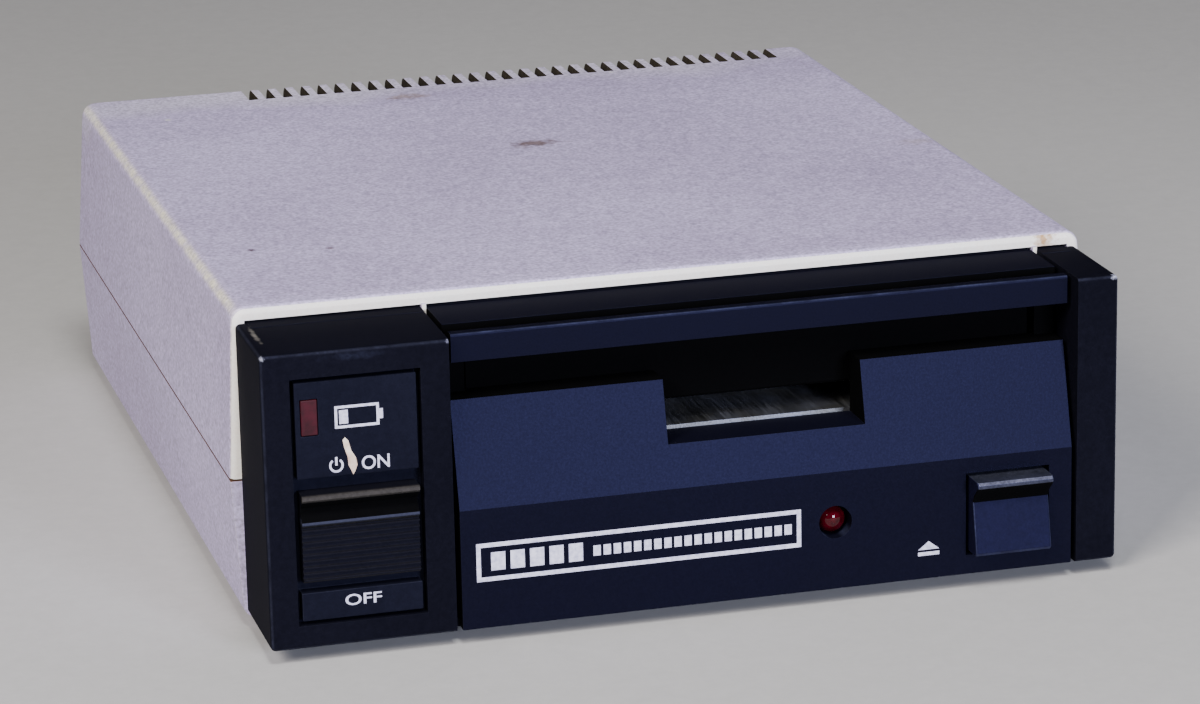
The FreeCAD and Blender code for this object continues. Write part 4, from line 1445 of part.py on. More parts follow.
def make_batteries():
    """Two layers of two cells, end to end, in a holder over the opening in the tray's floor."""
    box = block("holder_box", ("cell_row - holder_outer", "cell_row + holder_outer"),
                ("holder_front", "holder_rear"), ("tray_floor", "holder_top + holder_wall"))
    inside = block("holder_inside", ("cell_row - holder_half", "cell_row + holder_half"),
                   ("holder_front + holder_wall", "holder_inner_rear"), ("tray_floor - past", "holder_top"))
    place(cut("battery_holder", box, inside), "battery_holder")
    cells = []
    contacts = []
    for layer in ("low", "high"):
        tall = f"cell_{layer}"
        for order in (0, 1):
            start = f"cell_first + {order}*cell_pitch"
            case = rod(f"cell_{layer}_{order}", "y", "cell_radius", "cell_row",
                       (start, f"{start} + cell_long"), tall)
            stud = rod(f"stud_{layer}_{order}", "y", "stud_radius", "cell_row",
                       (f"{start} + cell_long - weld", f"{start} + cell_long + stud_long"), tall)
            cells.append(joined(f"cell_solid_{layer}_{order}", case, stud))
        contacts.append(rod(f"contact_spring_{layer}", "y", "contact_radius", "cell_row",
                            ("holder_front + holder_wall", "cell_first"), tall))
        contacts.append(block(f"contact_plate_{layer}", ("cell_row - contact_half", "cell_row + contact_half"),
                              ("holder_inner_rear - contact_sheet", "holder_inner_rear"),
                              (f"{tall} - contact_half", f"{tall} + contact_half")))
    place(together("battery_cells", *cells), "battery_cells")
    place(together("battery_contacts", *contacts), "battery_contacts")
    door = doc.addObject("PartDesign::Body", "battery_door")
    slab(door, "door_plate", ("cell_row - door_half", "cell_row + door_half"),
         ("door_front", "door_rear"), ("-case_under", "-case_under + door_sheet"))
    slab(door, "door_tongues", ("cell_row - door_half - door_tongue", "cell_row + door_half + door_tongue"),
         ("door_front + door_travel", "door_rear - door_travel"),
         ("-case_under + door_tongue_low", "-case_under + door_sheet"))
    grip = slab(door, "door_grip", ("cell_row - door_half/2", "cell_row + door_half/2"),
                ("door_front + 2*grip_pitch", "door_front + 2*grip_pitch + grip_width"),
                ("-case_under - grip_proud", "-case_under + weld"))
    in_row(door, "door_grips", grip, "Y_Axis", "grip_pitch", "grip_count")
    place(door, "battery_door")


# --- fasteners ------------------------------------------------------------------------------------

def screw(name, axis, across, back, head_at, tip_at, radius, head):
    """A pan-head screw along z or y, from its head's bearing plane to its tip."""
    flip = "-" if head_at[1] == "down" else "+"
    seat = head_at[0]
    shank_span = (seat, tip_at) if flip == "-" else (tip_at, seat)
    head_span = ((f"{seat} - screw_head_tall", seat) if flip == "-"
                 else (seat, f"{seat} + screw_head_tall"))
    if axis == "z":
        shank = rod(name + "_shank", "z", radius, across, back, shank_span)
        cap = rod(name + "_head", "z", head, across, back, head_span)
    else:
        shank = rod(name + "_shank", "y", radius, across, shank_span, back)
        cap = rod(name + "_head", "y", head, across, head_span, back)
    return joined(name, shank, cap)


def make_screws():
    case_set = [screw(f"case_screw_{number}", "z", f"{side} * boss_side", f"boss_{back}",
                      ("head_seat_top", "down"), "case_split + case_screw_bite", "case_screw_radius",
                      "case_screw_head")
                for number, (side, back) in enumerate(CORNERS)]
    place(together("case_screws", *case_set), "case_screws")
    chassis_set = [screw(f"chassis_screw_{number}", "z", f"bay_middle + {side} * chassis_screw_half",
                         f"post_{back}", ("chassis_low + chassis_sheet", "up"), "tray_floor + screw_tip_gap",
                         "small_screw_radius", "small_screw_head")
                   for number, (side, back) in enumerate(CORNERS)]
    place(together("chassis_screws", *chassis_set), "chassis_screws")
    board_set = [screw(f"board_screw_{number}", "z", across, back, ("board_top", "up"), "tray_floor + weld",
                       "small_screw_radius", "small_screw_head")
                 for number, (across, back) in enumerate(BOARD_SCREWS)]
    place(together("board_screws", *board_set), "board_screws")
    switch_set = [screw(f"switch_screw_{number}", "y", across, tall, ("switch_board_depth + board_sheet", "up"),
                        "switch_board_depth - switch_screw_long", "small_screw_radius", "small_screw_head")
                  for number, (across, tall) in enumerate(SWITCH_BOARD_SCREWS)]
    place(together("switch_board_screws", *switch_set), "switch_board_screws")


# --- build, check and write -----------------------------------------------------------------------

make_upper_shell()
make_lower_shell()
make_feet()
make_front_frame()
make_label_insert()
make_power_knob()
make_switch_group()
make_faceplate()
make_dust_flap()
make_springs()
make_lamp()
make_eject_button()
make_eject_plate()
make_cradle()
make_chassis()
make_spindle()
make_motor()
make_belt()
make_carriage()
make_screw_drive()
make_electronics()
make_sockets()
make_batteries()
make_screws()
doc.recompute()

failed = [item.Name for item in doc.Objects if {"Invalid", "Error"} & set(item.State)]
if failed:
    raise RuntimeError("these objects failed: " + ", ".join(failed))
for piece in SUB_PARTS:
    if piece.Shape.isNull() or not piece.Shape.isValid() or not piece.Shape.Solids:
        raise RuntimeError(piece.Label + " is empty or broken")

os.makedirs("parts", exist_ok=True)
for piece in SUB_PARTS:
    piece.Shape.exportStep(f"parts/{piece.Label}.step")
    print(piece.Label, len(piece.Shape.Solids), "solid(s)", round(piece.Shape.Volume, 1), "mm3")
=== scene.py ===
# %% [markdown]
# # A portable disk drive, dressed for the studio
# The drive arrives as a set of measured solids that already know how they move. This lesson rounds
# their edges, gives each piece its finish, adds what solids don't hold, such as print and screw
# recesses, and lights the result. Everything is in metres, and a place on the front is measured
# from the front face in millimetres.

# %% Load the drive
import bmesh
import bpy
import json
import math
from mathutils import Matrix, Vector

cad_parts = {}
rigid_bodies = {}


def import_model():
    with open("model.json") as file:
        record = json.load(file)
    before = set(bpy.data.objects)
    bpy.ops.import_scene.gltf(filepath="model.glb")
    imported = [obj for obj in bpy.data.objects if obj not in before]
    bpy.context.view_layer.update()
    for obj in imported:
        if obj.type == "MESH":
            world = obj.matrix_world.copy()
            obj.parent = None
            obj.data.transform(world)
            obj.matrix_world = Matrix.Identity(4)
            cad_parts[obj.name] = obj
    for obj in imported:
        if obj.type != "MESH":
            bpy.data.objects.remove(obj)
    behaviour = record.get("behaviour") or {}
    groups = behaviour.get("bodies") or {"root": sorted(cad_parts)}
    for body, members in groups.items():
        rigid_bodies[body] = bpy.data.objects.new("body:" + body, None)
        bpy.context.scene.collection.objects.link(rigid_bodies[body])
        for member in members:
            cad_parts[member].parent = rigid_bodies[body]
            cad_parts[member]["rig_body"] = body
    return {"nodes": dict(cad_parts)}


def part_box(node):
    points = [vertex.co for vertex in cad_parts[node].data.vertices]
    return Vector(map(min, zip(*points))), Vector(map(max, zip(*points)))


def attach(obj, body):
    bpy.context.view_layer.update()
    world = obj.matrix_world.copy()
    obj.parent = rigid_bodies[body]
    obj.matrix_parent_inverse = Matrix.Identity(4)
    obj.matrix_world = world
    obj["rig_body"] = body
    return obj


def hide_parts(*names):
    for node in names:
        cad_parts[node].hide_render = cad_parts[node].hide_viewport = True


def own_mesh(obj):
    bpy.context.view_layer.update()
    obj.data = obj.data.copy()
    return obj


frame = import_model()
nodes = frame["nodes"]
slots = {name: piece.material_slots[0].material.name for name, piece in nodes.items()}
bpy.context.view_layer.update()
MM = 0.001
PANEL = Vector((0.0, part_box("front_frame")[0][1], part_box("front_frame")[0][2]))


def on_panel(x, y, z):
    """A place in metres: x from the middle, y back from the front face, z over the frame's foot."""
    return PANEL + Vector((x, y, z)) * MM


def shown(name, data):
    """A new object in the scene, made of a mesh, a camera or a light."""
    thing = bpy.data.objects.new(name, data)
    bpy.context.collection.objects.link(thing)
    return thing


def plain_mesh(thing):
    """What a curve or a piece with modifiers looks like, as a plain mesh."""
    return bpy.data.meshes.new_from_object(thing.evaluated_get(bpy.context.evaluated_depsgraph_get()))


print(len(nodes), "solids, front face at", round(PANEL.y / MM, 2), "mm")

# %% [markdown]
# ## The camera
# The drive is seen from well back through a long lens, so its edges hardly converge. A camera is a
# place, a direction and a lens. Its three axes are worked out from a turn to the left, a tilt down
# and a slight roll, and written into its matrix, which leaves nothing to a constraint.

# %% Set up the camera
TURN, TILT, ROLL = (math.radians(angle) for angle in (-15.024, 16.473, -1.217))
AIM, SHIFT_RIGHT, SHIFT_UP, DISTANCE, FOCAL_MM = on_panel(0, 60, 25), -0.133, 0.118, 757.17, 133.61
away = Vector((math.sin(TURN) * math.cos(TILT), -math.cos(TURN) * math.cos(TILT), math.sin(TILT)))
level_right = Vector((math.cos(TURN), math.sin(TURN), 0.0))
level_up = away.cross(level_right)
right = math.cos(ROLL) * level_right + math.sin(ROLL) * level_up
up = math.cos(ROLL) * level_up - math.sin(ROLL) * level_right
stand = AIM + (right * SHIFT_RIGHT + up * SHIFT_UP + away * DISTANCE) * MM

lens = bpy.data.cameras.new("studio_camera")
lens.lens = FOCAL_MM
lens.sensor_width = 36.0
lens.clip_end = 20.0
camera = shown("studio_camera", lens)
camera.matrix_world = Matrix.Translation(stand) @ Matrix((right, up, away)).transposed().to_4x4()
bpy.context.scene.camera = camera
print("camera at", [round(c, 3) for c in stand])

# %% [markdown]
# ## Colours and nodes
# A hex code is how a colour is written down, but a shader works in linear light, so one function
# turns the first into the second. Another adds a node, with its settings by name and its inputs in
# a dictionary, where a node stands for its first output, a socket is joined, and anything else is
# a value. A list is for the one input that takes several. Most finishes start from a patchy
# colour: noise decides where one shade gives way to the other.

# %% Helpers for every finish
def tone(hex_code):
    """An sRGB hex colour as the linear colour that a shader needs."""
    shares = [int(hex_code[i:i + 2], 16) / 255 for i in (0, 2, 4)]
    return tuple(s / 12.92 if s <= 0.04045 else ((s + 0.055) / 1.055) ** 2.4 for s in shares) + (1.0,)


def fill(tree, node, inputs):
    """Give a node's inputs their values, or join them to other nodes."""
    for key, value in dict(inputs).items():
        for source in value if isinstance(value, list) else [value]:
            if isinstance(source, bpy.types.Node):
                source = source.outputs[0]
            if isinstance(source, bpy.types.NodeSocket):
                tree.links.new(source, node.inputs[key])
            else:
                node.inputs[key].default_value = source


def add(tree, kind, inputs=(), **settings):
    """Add a node with its settings and its inputs."""
    node = tree.nodes.new(kind)
    for name, value in settings.items():
        setattr(node, name, value)
    fill(tree, node, inputs)
    return node


def blank(name):
    """A new material, its tree, its shader, and the place of each point on the piece."""
    material = bpy.data.materials.new(name)
    material.use_nodes = True
    tree = material.node_tree
    return material, tree, tree.nodes["Principled BSDF"], add(tree, "ShaderNodeTexCoord").outputs["Object"]


def patchy(tree, place, patch_mm, detail, body, other, low=0.0, high=1.0):
    """A colour that goes from one shade to the other as noise goes from low to high, and the noise."""
    noise = add(tree, "ShaderNodeTexNoise", {"Vector": place, "Scale": 1000 / patch_mm, "Detail": detail})
    share = add(tree, "ShaderNodeMapRange", {"Value": noise, "From Min": low, "From Max": high})
    paint = add(tree, "ShaderNodeMix", {0: share, 6: tone(body), 7: tone(other)}, data_type="RGBA")
    return paint.outputs[2], noise


print("tone('808080') is", round(tone("808080")[0], 3))

# %% [markdown]
# ## Where an edge is worn and given a painted highlight, and where a mark is
# Handling polishes the edges first, and the rounded edges are where light is caught, so the shade
# painted on them is partly wear and partly a painted highlight. A rounded edge is the only place on
# this boxy drive that faces between two axes, so the largest of the three parts of its direction
# falls below one there, and that is enough to find it. A mark is a place, a reach in each direction
# and a ragged rim.

# %% Masks for edges and marks
FLAT_SHARE, ROUND_SHARE = 0.95, 0.8
RIM_DEPTH, RIM_INNER, RIM_OUTER = 1.6, 1.0, 1.7


def edge_share(tree, facing):
    """0 on a flat face that looks along an axis, 1 in the middle of a rounded edge."""
    turned = add(tree, "ShaderNodeVectorMath", {0: facing}, operation="ABSOLUTE")
    parts = add(tree, "ShaderNodeSeparateXYZ", {0: turned}).outputs
    most = add(tree, "ShaderNodeMath", {0: parts[0], 1: parts[1]}, operation="MAXIMUM")
    most = add(tree, "ShaderNodeMath", {0: most, 1: parts[2]}, operation="MAXIMUM")
    return add(tree, "ShaderNodeMapRange", {"Value": most, "From Min": FLAT_SHARE, "From Max": ROUND_SHARE})


def mark_share(tree, place, centre, reach, ragged_mm):
    """1 in the middle of a mark, 0 outside it, with a rim broken by noise."""
    off = add(tree, "ShaderNodeVectorMath", {0: place, 1: centre}, operation="SUBTRACT")
    reach = tuple(side * MM for side in reach)
    off = add(tree, "ShaderNodeVectorMath", {0: off, 1: reach}, operation="DIVIDE")
    far = add(tree, "ShaderNodeVectorMath", {0: off}, operation="LENGTH").outputs["Value"]
    rim = add(tree, "ShaderNodeTexNoise", {"Vector": place, "Scale": 1000 / ragged_mm, "Detail": 3.0})
    far = add(tree, "ShaderNodeMath", {0: rim, 1: RIM_DEPTH, 2: far}, operation="MULTIPLY_ADD")
    return add(tree, "ShaderNodeMapRange", {
        "Value": far, "From Min": RIM_INNER, "From Max": RIM_OUTER, "To Min": 1.0, "To Max": 0.0})


print("edges are found by facing, marks by distance")

# %% [markdown]
# ## Moulded plastic
# Both shells and the whole front are ABS, moulded against a tool that was textured by sparks. The
# eye sees a fine even grain over a slightly coarser mottle, a slow drift of shade from age and
# handling, edges of another shade, where the grey has yellowed and the black is rubbed and where a
# highlight is painted on the rounding, and a few marks. Fine dust settles on level faces and makes
# them duller, and the blacks have a bluish sheen, so their reflections are tinted. The scales are
# sizes in millimetres: a noise of scale 1000 has features of about one millimetre here, because the
# drive is built in metres. Real spark texture is near 0.1 mm, too fine to show in a render, so the
# grain is drawn three to six times as coarse.

# %% The recipe for moulded plastic
RUB_AND_HIGHLIGHT_MM, MOTTLE, LEAST_WEAR_AND_HIGHLIGHT, RAGGED = 3.5, 3, 0.4, 0.25


def moulded_plastic(name, body, faded, worn_and_highlit_edge, grain_mm=0.35, speckle=0.07, relief_mm=0.02, rough=0.5,
                    gloss=0.5, sheen="ffffff", drift_mm=40, wear_and_highlight=0.6, settled=0.0, marks=()):
    """Textured ABS. Each mark is a place on the panel in mm, a reach in mm, a colour and a strength."""
    material, tree, shader, place = blank(name)
    facing = add(tree, "ShaderNodeTexCoord").outputs["Normal"]
    drift, mottle, grain, rub_and_highlight_patches = (
        add(tree, "ShaderNodeTexNoise", {"Vector": place, "Scale": 1000 / size_mm, "Detail": detail})
        for size_mm, detail in ((drift_mm, 2.0), (MOTTLE * grain_mm, 4.0), (grain_mm, 3.0), (RUB_AND_HIGHLIGHT_MM, 4.0)))
    both = add(tree, "ShaderNodeMath", {0: drift, 1: mottle}, operation="ADD")
    shade = add(tree, "ShaderNodeMapRange", {"Value": both, "From Min": 0.75, "From Max": 1.25})
    rubbed_and_highlit = add(tree, "ShaderNodeMapRange", {
        "Value": rub_and_highlight_patches, "From Min": 0.35, "From Max": 0.6, "To Min": wear_and_highlight * LEAST_WEAR_AND_HIGHLIGHT, "To Max": wear_and_highlight})
    # The rounded edges get another shade: partly real wear and yellowing, partly a painted highlight.
    edge = add(tree, "ShaderNodeMath", {0: rubbed_and_highlit, 1: edge_share(tree, facing)}, operation="MULTIPLY")
    layers = [(shade, faded), (edge, worn_and_highlit_edge)]
    for centre, reach, colour, strength in marks:
        mask = mark_share(tree, place, on_panel(*centre), reach, RAGGED * max(reach))
        layers.append((add(tree, "ShaderNodeMath", {0: mask, 1: strength}, operation="MULTIPLY"), colour))
    paint = tone(body)
    for mask, colour in layers:
        paint = add(tree, "ShaderNodeMix", {0: mask, 6: paint, 7: tone(colour)}, data_type="RGBA").outputs[2]
    pepper = add(tree, "ShaderNodeMapRange", {
        "Value": grain, "From Min": 0.3, "From Max": 0.7, "To Min": 1 - speckle, "To Max": 1 + speckle})
    paint = add(tree, "ShaderNodeVectorMath", {0: paint, "Scale": pepper}, operation="SCALE")
    dull = add(tree, "ShaderNodeMapRange", {"Value": grain, "To Min": rough - 0.06, "To Max": rough + 0.1})
    level = add(tree, "ShaderNodeSeparateXYZ", {0: facing}).outputs[2]
    dust = add(tree, "ShaderNodeMapRange", {
        "Value": level, "From Min": 0.7, "From Max": 0.97, "To Max": settled})
    dull = add(tree, "ShaderNodeMath", {0: dull, 1: dust}, operation="ADD")
    relief = add(tree, "ShaderNodeBump", {"Height": grain, "Strength": 0.6, "Distance": relief_mm * MM})
    fill(tree, shader, {"Specular IOR Level": gloss, "Specular Tint": tone(sheen), "Base Color": paint,
                        "Roughness": dull, "Normal": relief})
    return material


# %% [markdown]
# The grey of the case is cool, and its rounded edges are cream, partly from yellowing and partly as a
# painted highlight. A brown scuff lies on the lid behind the middle, a brown stain at the vents, and
# there are a few pinpricks. A mark that reaches 300 mm across is a band: the lid's clean front edge,
# and two painted highlight lines on the knob.

# %% Grey and black ABS
LID, BAND = 50.4, 300
lid_marks = [
    ((0, 20.2, LID), (BAND, 5, 5), "c8bde2", 1.0), ((1.5, 108.0, LID), (6.2, 3.6, 2), "66523f", 0.8),
    ((-11.8, 151.6, LID), (5.0, 3.0, 2), "8a7457", 0.65), ((-60.7, 53.1, LID), (0.9, 1.1, 1), "4a302a", 0.9),
    ((-48.2, 50.0, LID), (0.9, 1.1, 1), "5a4238", 0.8), ((66.0, 86.1, LID), (5.0, 3.0, 2), "a08f74", 0.3),
    ((29.5, 158.0, LID), (0.8, 0.8, 1), "e8e4e0", 0.7), ((-57.5, 148.6, LID), (0.8, 1.0, 1), "f4f2f0", 0.8),
    ((0, 163, LID), (130, 14, 9), "eceaf2", 0.45)]
case_abs = moulded_plastic(
    "cool_grey_abs_spark_textured", "c8bde2", "b3a7ca", "f0e9da", grain_mm=0.6, speckle=0.3,
    relief_mm=0.03, rough=0.6, gloss=0.3, drift_mm=60, wear_and_highlight=1.0, marks=lid_marks)
stain = [((64.5, 19.2, 49.4), (2.6, 3.0, 2.4), "b98a4c", 0.9)]
# The lid's lip is painted near white: a painted highlight on its rounded edge, with a cream tint.
lip_abs_painted_highlight = moulded_plastic(
    "cream_abs_painted_highlight", "fffdf6", "fff8ee", "ffffff", speckle=0.05, rough=0.45, marks=stain)
grimed_abs = moulded_plastic(
    "grey_abs_grimed", "7a5642", "5c4030", "8a6a54", speckle=0.2, rough=0.8, gloss=0.2)
# Painted shade: the walls inside the vent slots are painted dark.
vent_walls_painted_shade = moulded_plastic(
    "grey_abs_painted_shade_in_vents", "4c463c", "342f28", "6a6458", speckle=0.3, rough=0.85, gloss=0.1)
# The corners of the frame carry paler spots, and the mark 12.3 mm back along the top-left edge is a painted
# highlight on its rounding.
frame_marks = [
    ((-69.6, 0.3, 47.5), (0.6, 1.2, 0.5), "8f91a0", 0.9), ((-40.4, 0.2, 47.6), (0.5, 1, 0.4), "82849a", 0.7),
    ((69.6, 0.3, 47.6), (1.2, 1.5, 0.5), "b4b6c8", 0.9), ((-68.3, 12.3, 48), (0.6, 5.5, 0.6), "77736c", 0.8),
    ((-55.5, 0.0, 46.8), (6.5, 0.5, 0.8), "1b1d2a", 0.6)]
frame_abs = moulded_plastic(
    "blue_black_abs_satin", "06060b", "0b0b12", "2c2e3c", speckle=0.3, rough=0.8, gloss=0.12,
    sheen="c4c6ff", drift_mm=25, wear_and_highlight=0.5, settled=0.15, marks=frame_marks)
plate_marks = [((-8, 0, 45.4), (2.5, 1, 0.7), "34364a", 0.6), ((6, 0, 44.6), (1.5, 1, 0.5), "34364a", 0.5)]
plate_abs = moulded_plastic(
    "navy_black_abs_satin", "08080f", "080811", "3a3e58", speckle=0.2, rough=0.42, gloss=0.13,
    sheen="a8aaff", drift_mm=25, settled=0.45, marks=plate_marks)
button_abs = moulded_plastic(
    "navy_black_abs_rubbed_with_painted_edge_highlights", "101020", "14142a", "3a3e58", speckle=0.25, gloss=0.1, sheen="a8aaff",
    drift_mm=25)
# The top of the eject button's ridge is painted lighter as a painted highlight; its lower roughness is the
# polish of fingers.
ridge_abs_painted_highlight = moulded_plastic(
    "navy_black_abs_polished_with_painted_highlight", "24262f", "32343f", "6b6d80", speckle=0.3, rough=0.3, gloss=0.4,
    sheen="c4c6ff", drift_mm=6)
label_abs = moulded_plastic(
    "blue_black_abs_fine_matt", "0d0e17", "12131e", "2c2e3c", speckle=0.2, rough=0.7, gloss=0.1,
    sheen="c4c6ff", drift_mm=20, wear_and_highlight=0.4)
# Two painted highlights: a line along the knob's crest and one along the lower edge of its scoop.
knob_painted_highlights = [((-55.2, -1.5, 24.8), (BAND, 1.2, 0.9), "3a3733", 1.0),
              ((-55.2, -0.6, 20.8), (BAND, 3, 0.9), "2a2c38", 1.0)]
knob_abs = moulded_plastic(
    "black_abs_polished", "0b0b10", "0e0e14", "302e2a", grain_mm=0.5, speckle=0.2, relief_mm=0.01,
    rough=0.42, gloss=0.12, sheen="c4c6ff", wear_and_highlight=0.5, settled=0.4, marks=knob_painted_highlights)
# The dust flap's own matt black; the same finish is also used as painted shade in recesses and under ledges.
flap_and_painted_shade_abs = moulded_plastic("black_abs_matt_for_flap_and_painted_shade", "030304", "040405", "08080a", rough=0.85, gloss=0.04, wear_and_highlight=0.3)
print("moulded plastics, from", case_abs.name, "to", flap_and_painted_shade_abs.name)

# %% [markdown]
# ## Metals
# The works of the drive are bare or plated steel, with bronze bearings and brass pins. A metal
# has its colour in its reflection, so metallic is 1 and the IOR keeps its default. What tells one
# from another is its tint, how rough it is, and which way the rolls, the lathe or the drawing die
# left their lines: noise stretched along one axis makes these. Real lines are finer than 0.05 mm,
# so they are drawn at about a quarter of a millimetre.

# %% The recipe for metal
LINE_LONG = 30


def worked_metal(name, body, dulled, rough, along, line_mm=0.25, relief_mm=0.005):
    """Plated or bare metal. Its lines run along one axis, 0 to 2, as it was rolled, turned or drawn."""
    material, tree, shader, place = blank(name)
    shares = [1000 / line_mm] * 3
    shares[along] = 1000 / (line_mm * LINE_LONG)
    drawn = add(tree, "ShaderNodeVectorMath", {0: place, 1: tuple(shares)}, operation="MULTIPLY")
    lines = add(tree, "ShaderNodeTexNoise", {"Vector": drawn, "Scale": 1.0, "Detail": 3.0})
    paint = patchy(tree, place, 6, 4.0, body, dulled, 0.4, 0.65)[0]
    dull = add(tree, "ShaderNodeMapRange", {
        "Value": lines, "From Min": 0.3, "From Max": 0.7, "To Min": rough - 0.08, "To Max": rough + 0.12})
    relief = add(tree, "ShaderNodeBump", {"Height": lines, "Strength": 0.5, "Distance": relief_mm * MM})
    fill(tree, shader, {"Metallic": 1.0, "Base Color": paint, "Roughness": dull, "Normal": relief})
    return material


chassis_zinc = worked_metal("zinc_plated_steel_rolled", "bcc0cc", "a4a4a2", 0.38, along=1)
ground_steel = worked_metal("ground_steel_bright", "d2d2d2", "bdbdbb", 0.2, along=0, line_mm=0.2)
spring_wire = worked_metal("spring_steel_drawn", "a09c94", "86827a", 0.3, along=2, line_mm=0.15)
screw_zinc = worked_metal("zinc_plated_steel_screw", "bcbdc0", "9c9a90", 0.32, along=2, line_mm=0.3)
motor_can = worked_metal("nickel_plated_steel_drawn_can", "b4b1a8", "9f9c94", 0.3, along=2)
bronze = worked_metal("sintered_bronze_turned", "b58a55", "8d6c44", 0.42, along=2, line_mm=0.3)
pin_brass = worked_metal("gold_flashed_brass", "dcb766", "c39a4c", 0.25, along=1, line_mm=0.2)
contact_nickel = worked_metal("nickel_plated_spring_steel", "c4c2bb", "a6a49c", 0.28, along=0)
print("eight metals, from", chassis_zinc.name, "to", contact_nickel.name)

# %% [markdown]
# ## Red lens and lamp
# The low-battery window is the end of a red acrylic light pipe, flush and a little cloudy, and the
# activity lamp is a dome of red epoxy. Neither is lit. The window is too cloudy to see through,
# but the dome lets some light in, which comes back deep red, so it transmits in part. The gloss
# of a clear surface makes its small glints.

# %% The recipe for clear red plastic
def clear_red(name, body, depth, rough, through, gloss):
    """Tinted clear plastic, which darkens in cloudy patches."""
    material, tree, shader, place = blank(name)
    paint, cloud = patchy(tree, place, 1.2, 3.0, body, depth, 0.35, 0.65)
    dull = add(tree, "ShaderNodeMapRange", {"Value": cloud, "To Min": rough, "To Max": rough + 0.1})
    fill(tree, shader, {"Transmission Weight": through, "IOR": 1.5, "Specular IOR Level": gloss,
                        "Base Color": paint, "Roughness": dull})
    return material


red_acrylic = clear_red("red_acrylic_moulded", "3c0414", "2a030c", 0.45, 0.0, 0.2)
red_epoxy = clear_red("red_epoxy_cast", "4c0210", "2e0208", 0.0, 0.15, 0.3)
print("red plastics:", red_acrylic.name, red_epoxy.name)

# %% [markdown]
# ## Rubber, nylon, board and the rest of the works
# Rubber and nylon are dull bodies with a fine grain, and differ in colour, in how dull they are
# and, for the waxy white acetal, in the light that wanders inside. One recipe covers them.

# %% The recipe for dull bodies
def dull_body(name, body, dusty, rough, grain_mm=0.5, relief_mm=0.02, waxy=0.0):
    """Rubber, nylon, epoxy or acetal: a body colour with paler dust and a fine grain."""
    material, tree, shader, place = blank(name)
    paint = patchy(tree, place, 8, 5.0, body, dusty, 0.4, 0.7)[0]
    grain = add(tree, "ShaderNodeTexNoise", {"Vector": place, "Scale": 1000 / grain_mm, "Detail": 2.0})
    dull = add(tree, "ShaderNodeMapRange", {"Value": grain, "To Min": rough - 0.08, "To Max": rough + 0.08})
    relief = add(tree, "ShaderNodeBump", {"Height": grain, "Strength": 0.5, "Distance": relief_mm * MM})
    fill(tree, shader, {"Subsurface Weight": waxy, "Subsurface Scale": 1.0 * MM, "Base Color": paint,
                        "Roughness": dull, "Normal": relief})
    return material


foot_rubber = dull_body("black_rubber_moulded", "1a1a1b", "38383a", 0.8, 0.6)
belt_rubber = dull_body("black_rubber_belt_ground", "131314", "2a2a2b", 0.7, 0.3)
black_nylon = dull_body("black_glass_filled_nylon", "17171a", "222226", 0.6, 0.5)
white_acetal = dull_body("white_acetal_moulded", "e4e2da", "d6d3c8", 0.4, 0.8, waxy=0.3)
chip_epoxy = dull_body("black_epoxy_chip_case", "1b1b1d", "28282b", 0.5, 0.25)
print("dull bodies, from", foot_rubber.name, "to", chip_epoxy.name)

# %% [markdown]
# A circuit board is glass epoxy under green solder mask. Its copper tracks show through as paler
# green lines, which run one way in one patch and the other way in the next, and the pads are rows
# of tinned dots on a grid of 2.54 mm.

# %% Circuit board
PITCH_MM, TRACK_MM, PATCH_MM, PAD_SHARE = 2.54, 0.22, 14, 0.22


def circuit_board(name, along_axis=1):
    """Green solder mask with tracks and pads, drawn in the plane of x and another axis."""
    material, tree, shader, place = blank(name)
    parts = add(tree, "ShaderNodeSeparateXYZ", {0: place}).outputs
    rulings, steps = [], []
    for axis in (0, along_axis):
        cell = add(tree, "ShaderNodeMath", {0: parts[axis], 1: PITCH_MM * MM}, operation="DIVIDE")
        steps.append(add(tree, "ShaderNodeMath", {0: cell}, operation="FRACT"))
        half = add(tree, "ShaderNodeMath", {0: parts[axis], 1: PITCH_MM * MM / 4}, operation="PINGPONG")
        rulings.append(add(tree, "ShaderNodeMath", {0: half, 1: TRACK_MM * MM}, operation="LESS_THAN"))
    patch = add(tree, "ShaderNodeTexVoronoi", {"Vector": place, "Scale": 1000 / PATCH_MM}).outputs["Color"]
    turn = add(tree, "ShaderNodeSeparateColor", {0: patch}).outputs
    way = add(tree, "ShaderNodeMath", {0: turn[0], 1: 0.5}, operation="GREATER_THAN")
    tracks = add(tree, "ShaderNodeMix", {0: way, 2: rulings[0], 3: rulings[1]}, data_type="FLOAT")
    middle = add(tree, "ShaderNodeCombineXYZ", {0: steps[0], 1: steps[1]})
    far = add(tree, "ShaderNodeVectorMath", {0: middle, 1: (0.5, 0.5, 0.0)}, operation="DISTANCE")
    dots = add(tree, "ShaderNodeMath", {0: far.outputs["Value"], 1: PAD_SHARE}, operation="LESS_THAN")
    used = add(tree, "ShaderNodeMath", {0: turn[1], 1: 0.6}, operation="GREATER_THAN")
    pads = add(tree, "ShaderNodeMath", {0: dots, 1: used}, operation="MULTIPLY")
    paint = tone("1d4a30")
    for mask, colour in ((tracks, "2d6b43"), (pads, "b9bab8")):
        paint = add(tree, "ShaderNodeMix", {0: mask, 6: paint, 7: tone(colour)}, data_type="RGBA").outputs[2]
    dull = add(tree, "ShaderNodeMapRange", {"Value": tracks, "To Min": 0.32, "To Max": 0.42})
    fill(tree, shader, {"Base Color": paint, "Roughness": dull, "Metallic": pads})
    return material


board_flat = circuit_board("green_masked_glass_epoxy_flat")
board_upright = circuit_board("green_masked_glass_epoxy_upright", along_axis=2)
print("boards:", board_flat.name, board_upright.name)

# %% [markdown]
# A cell wears a printed steel jacket between two bare ends, and a capacitor a shrunk sleeve under
# a bare aluminium top. In both, a bare part and a coloured part meet at a line, which is found by
# place for the cells and by facing for the capacitors.

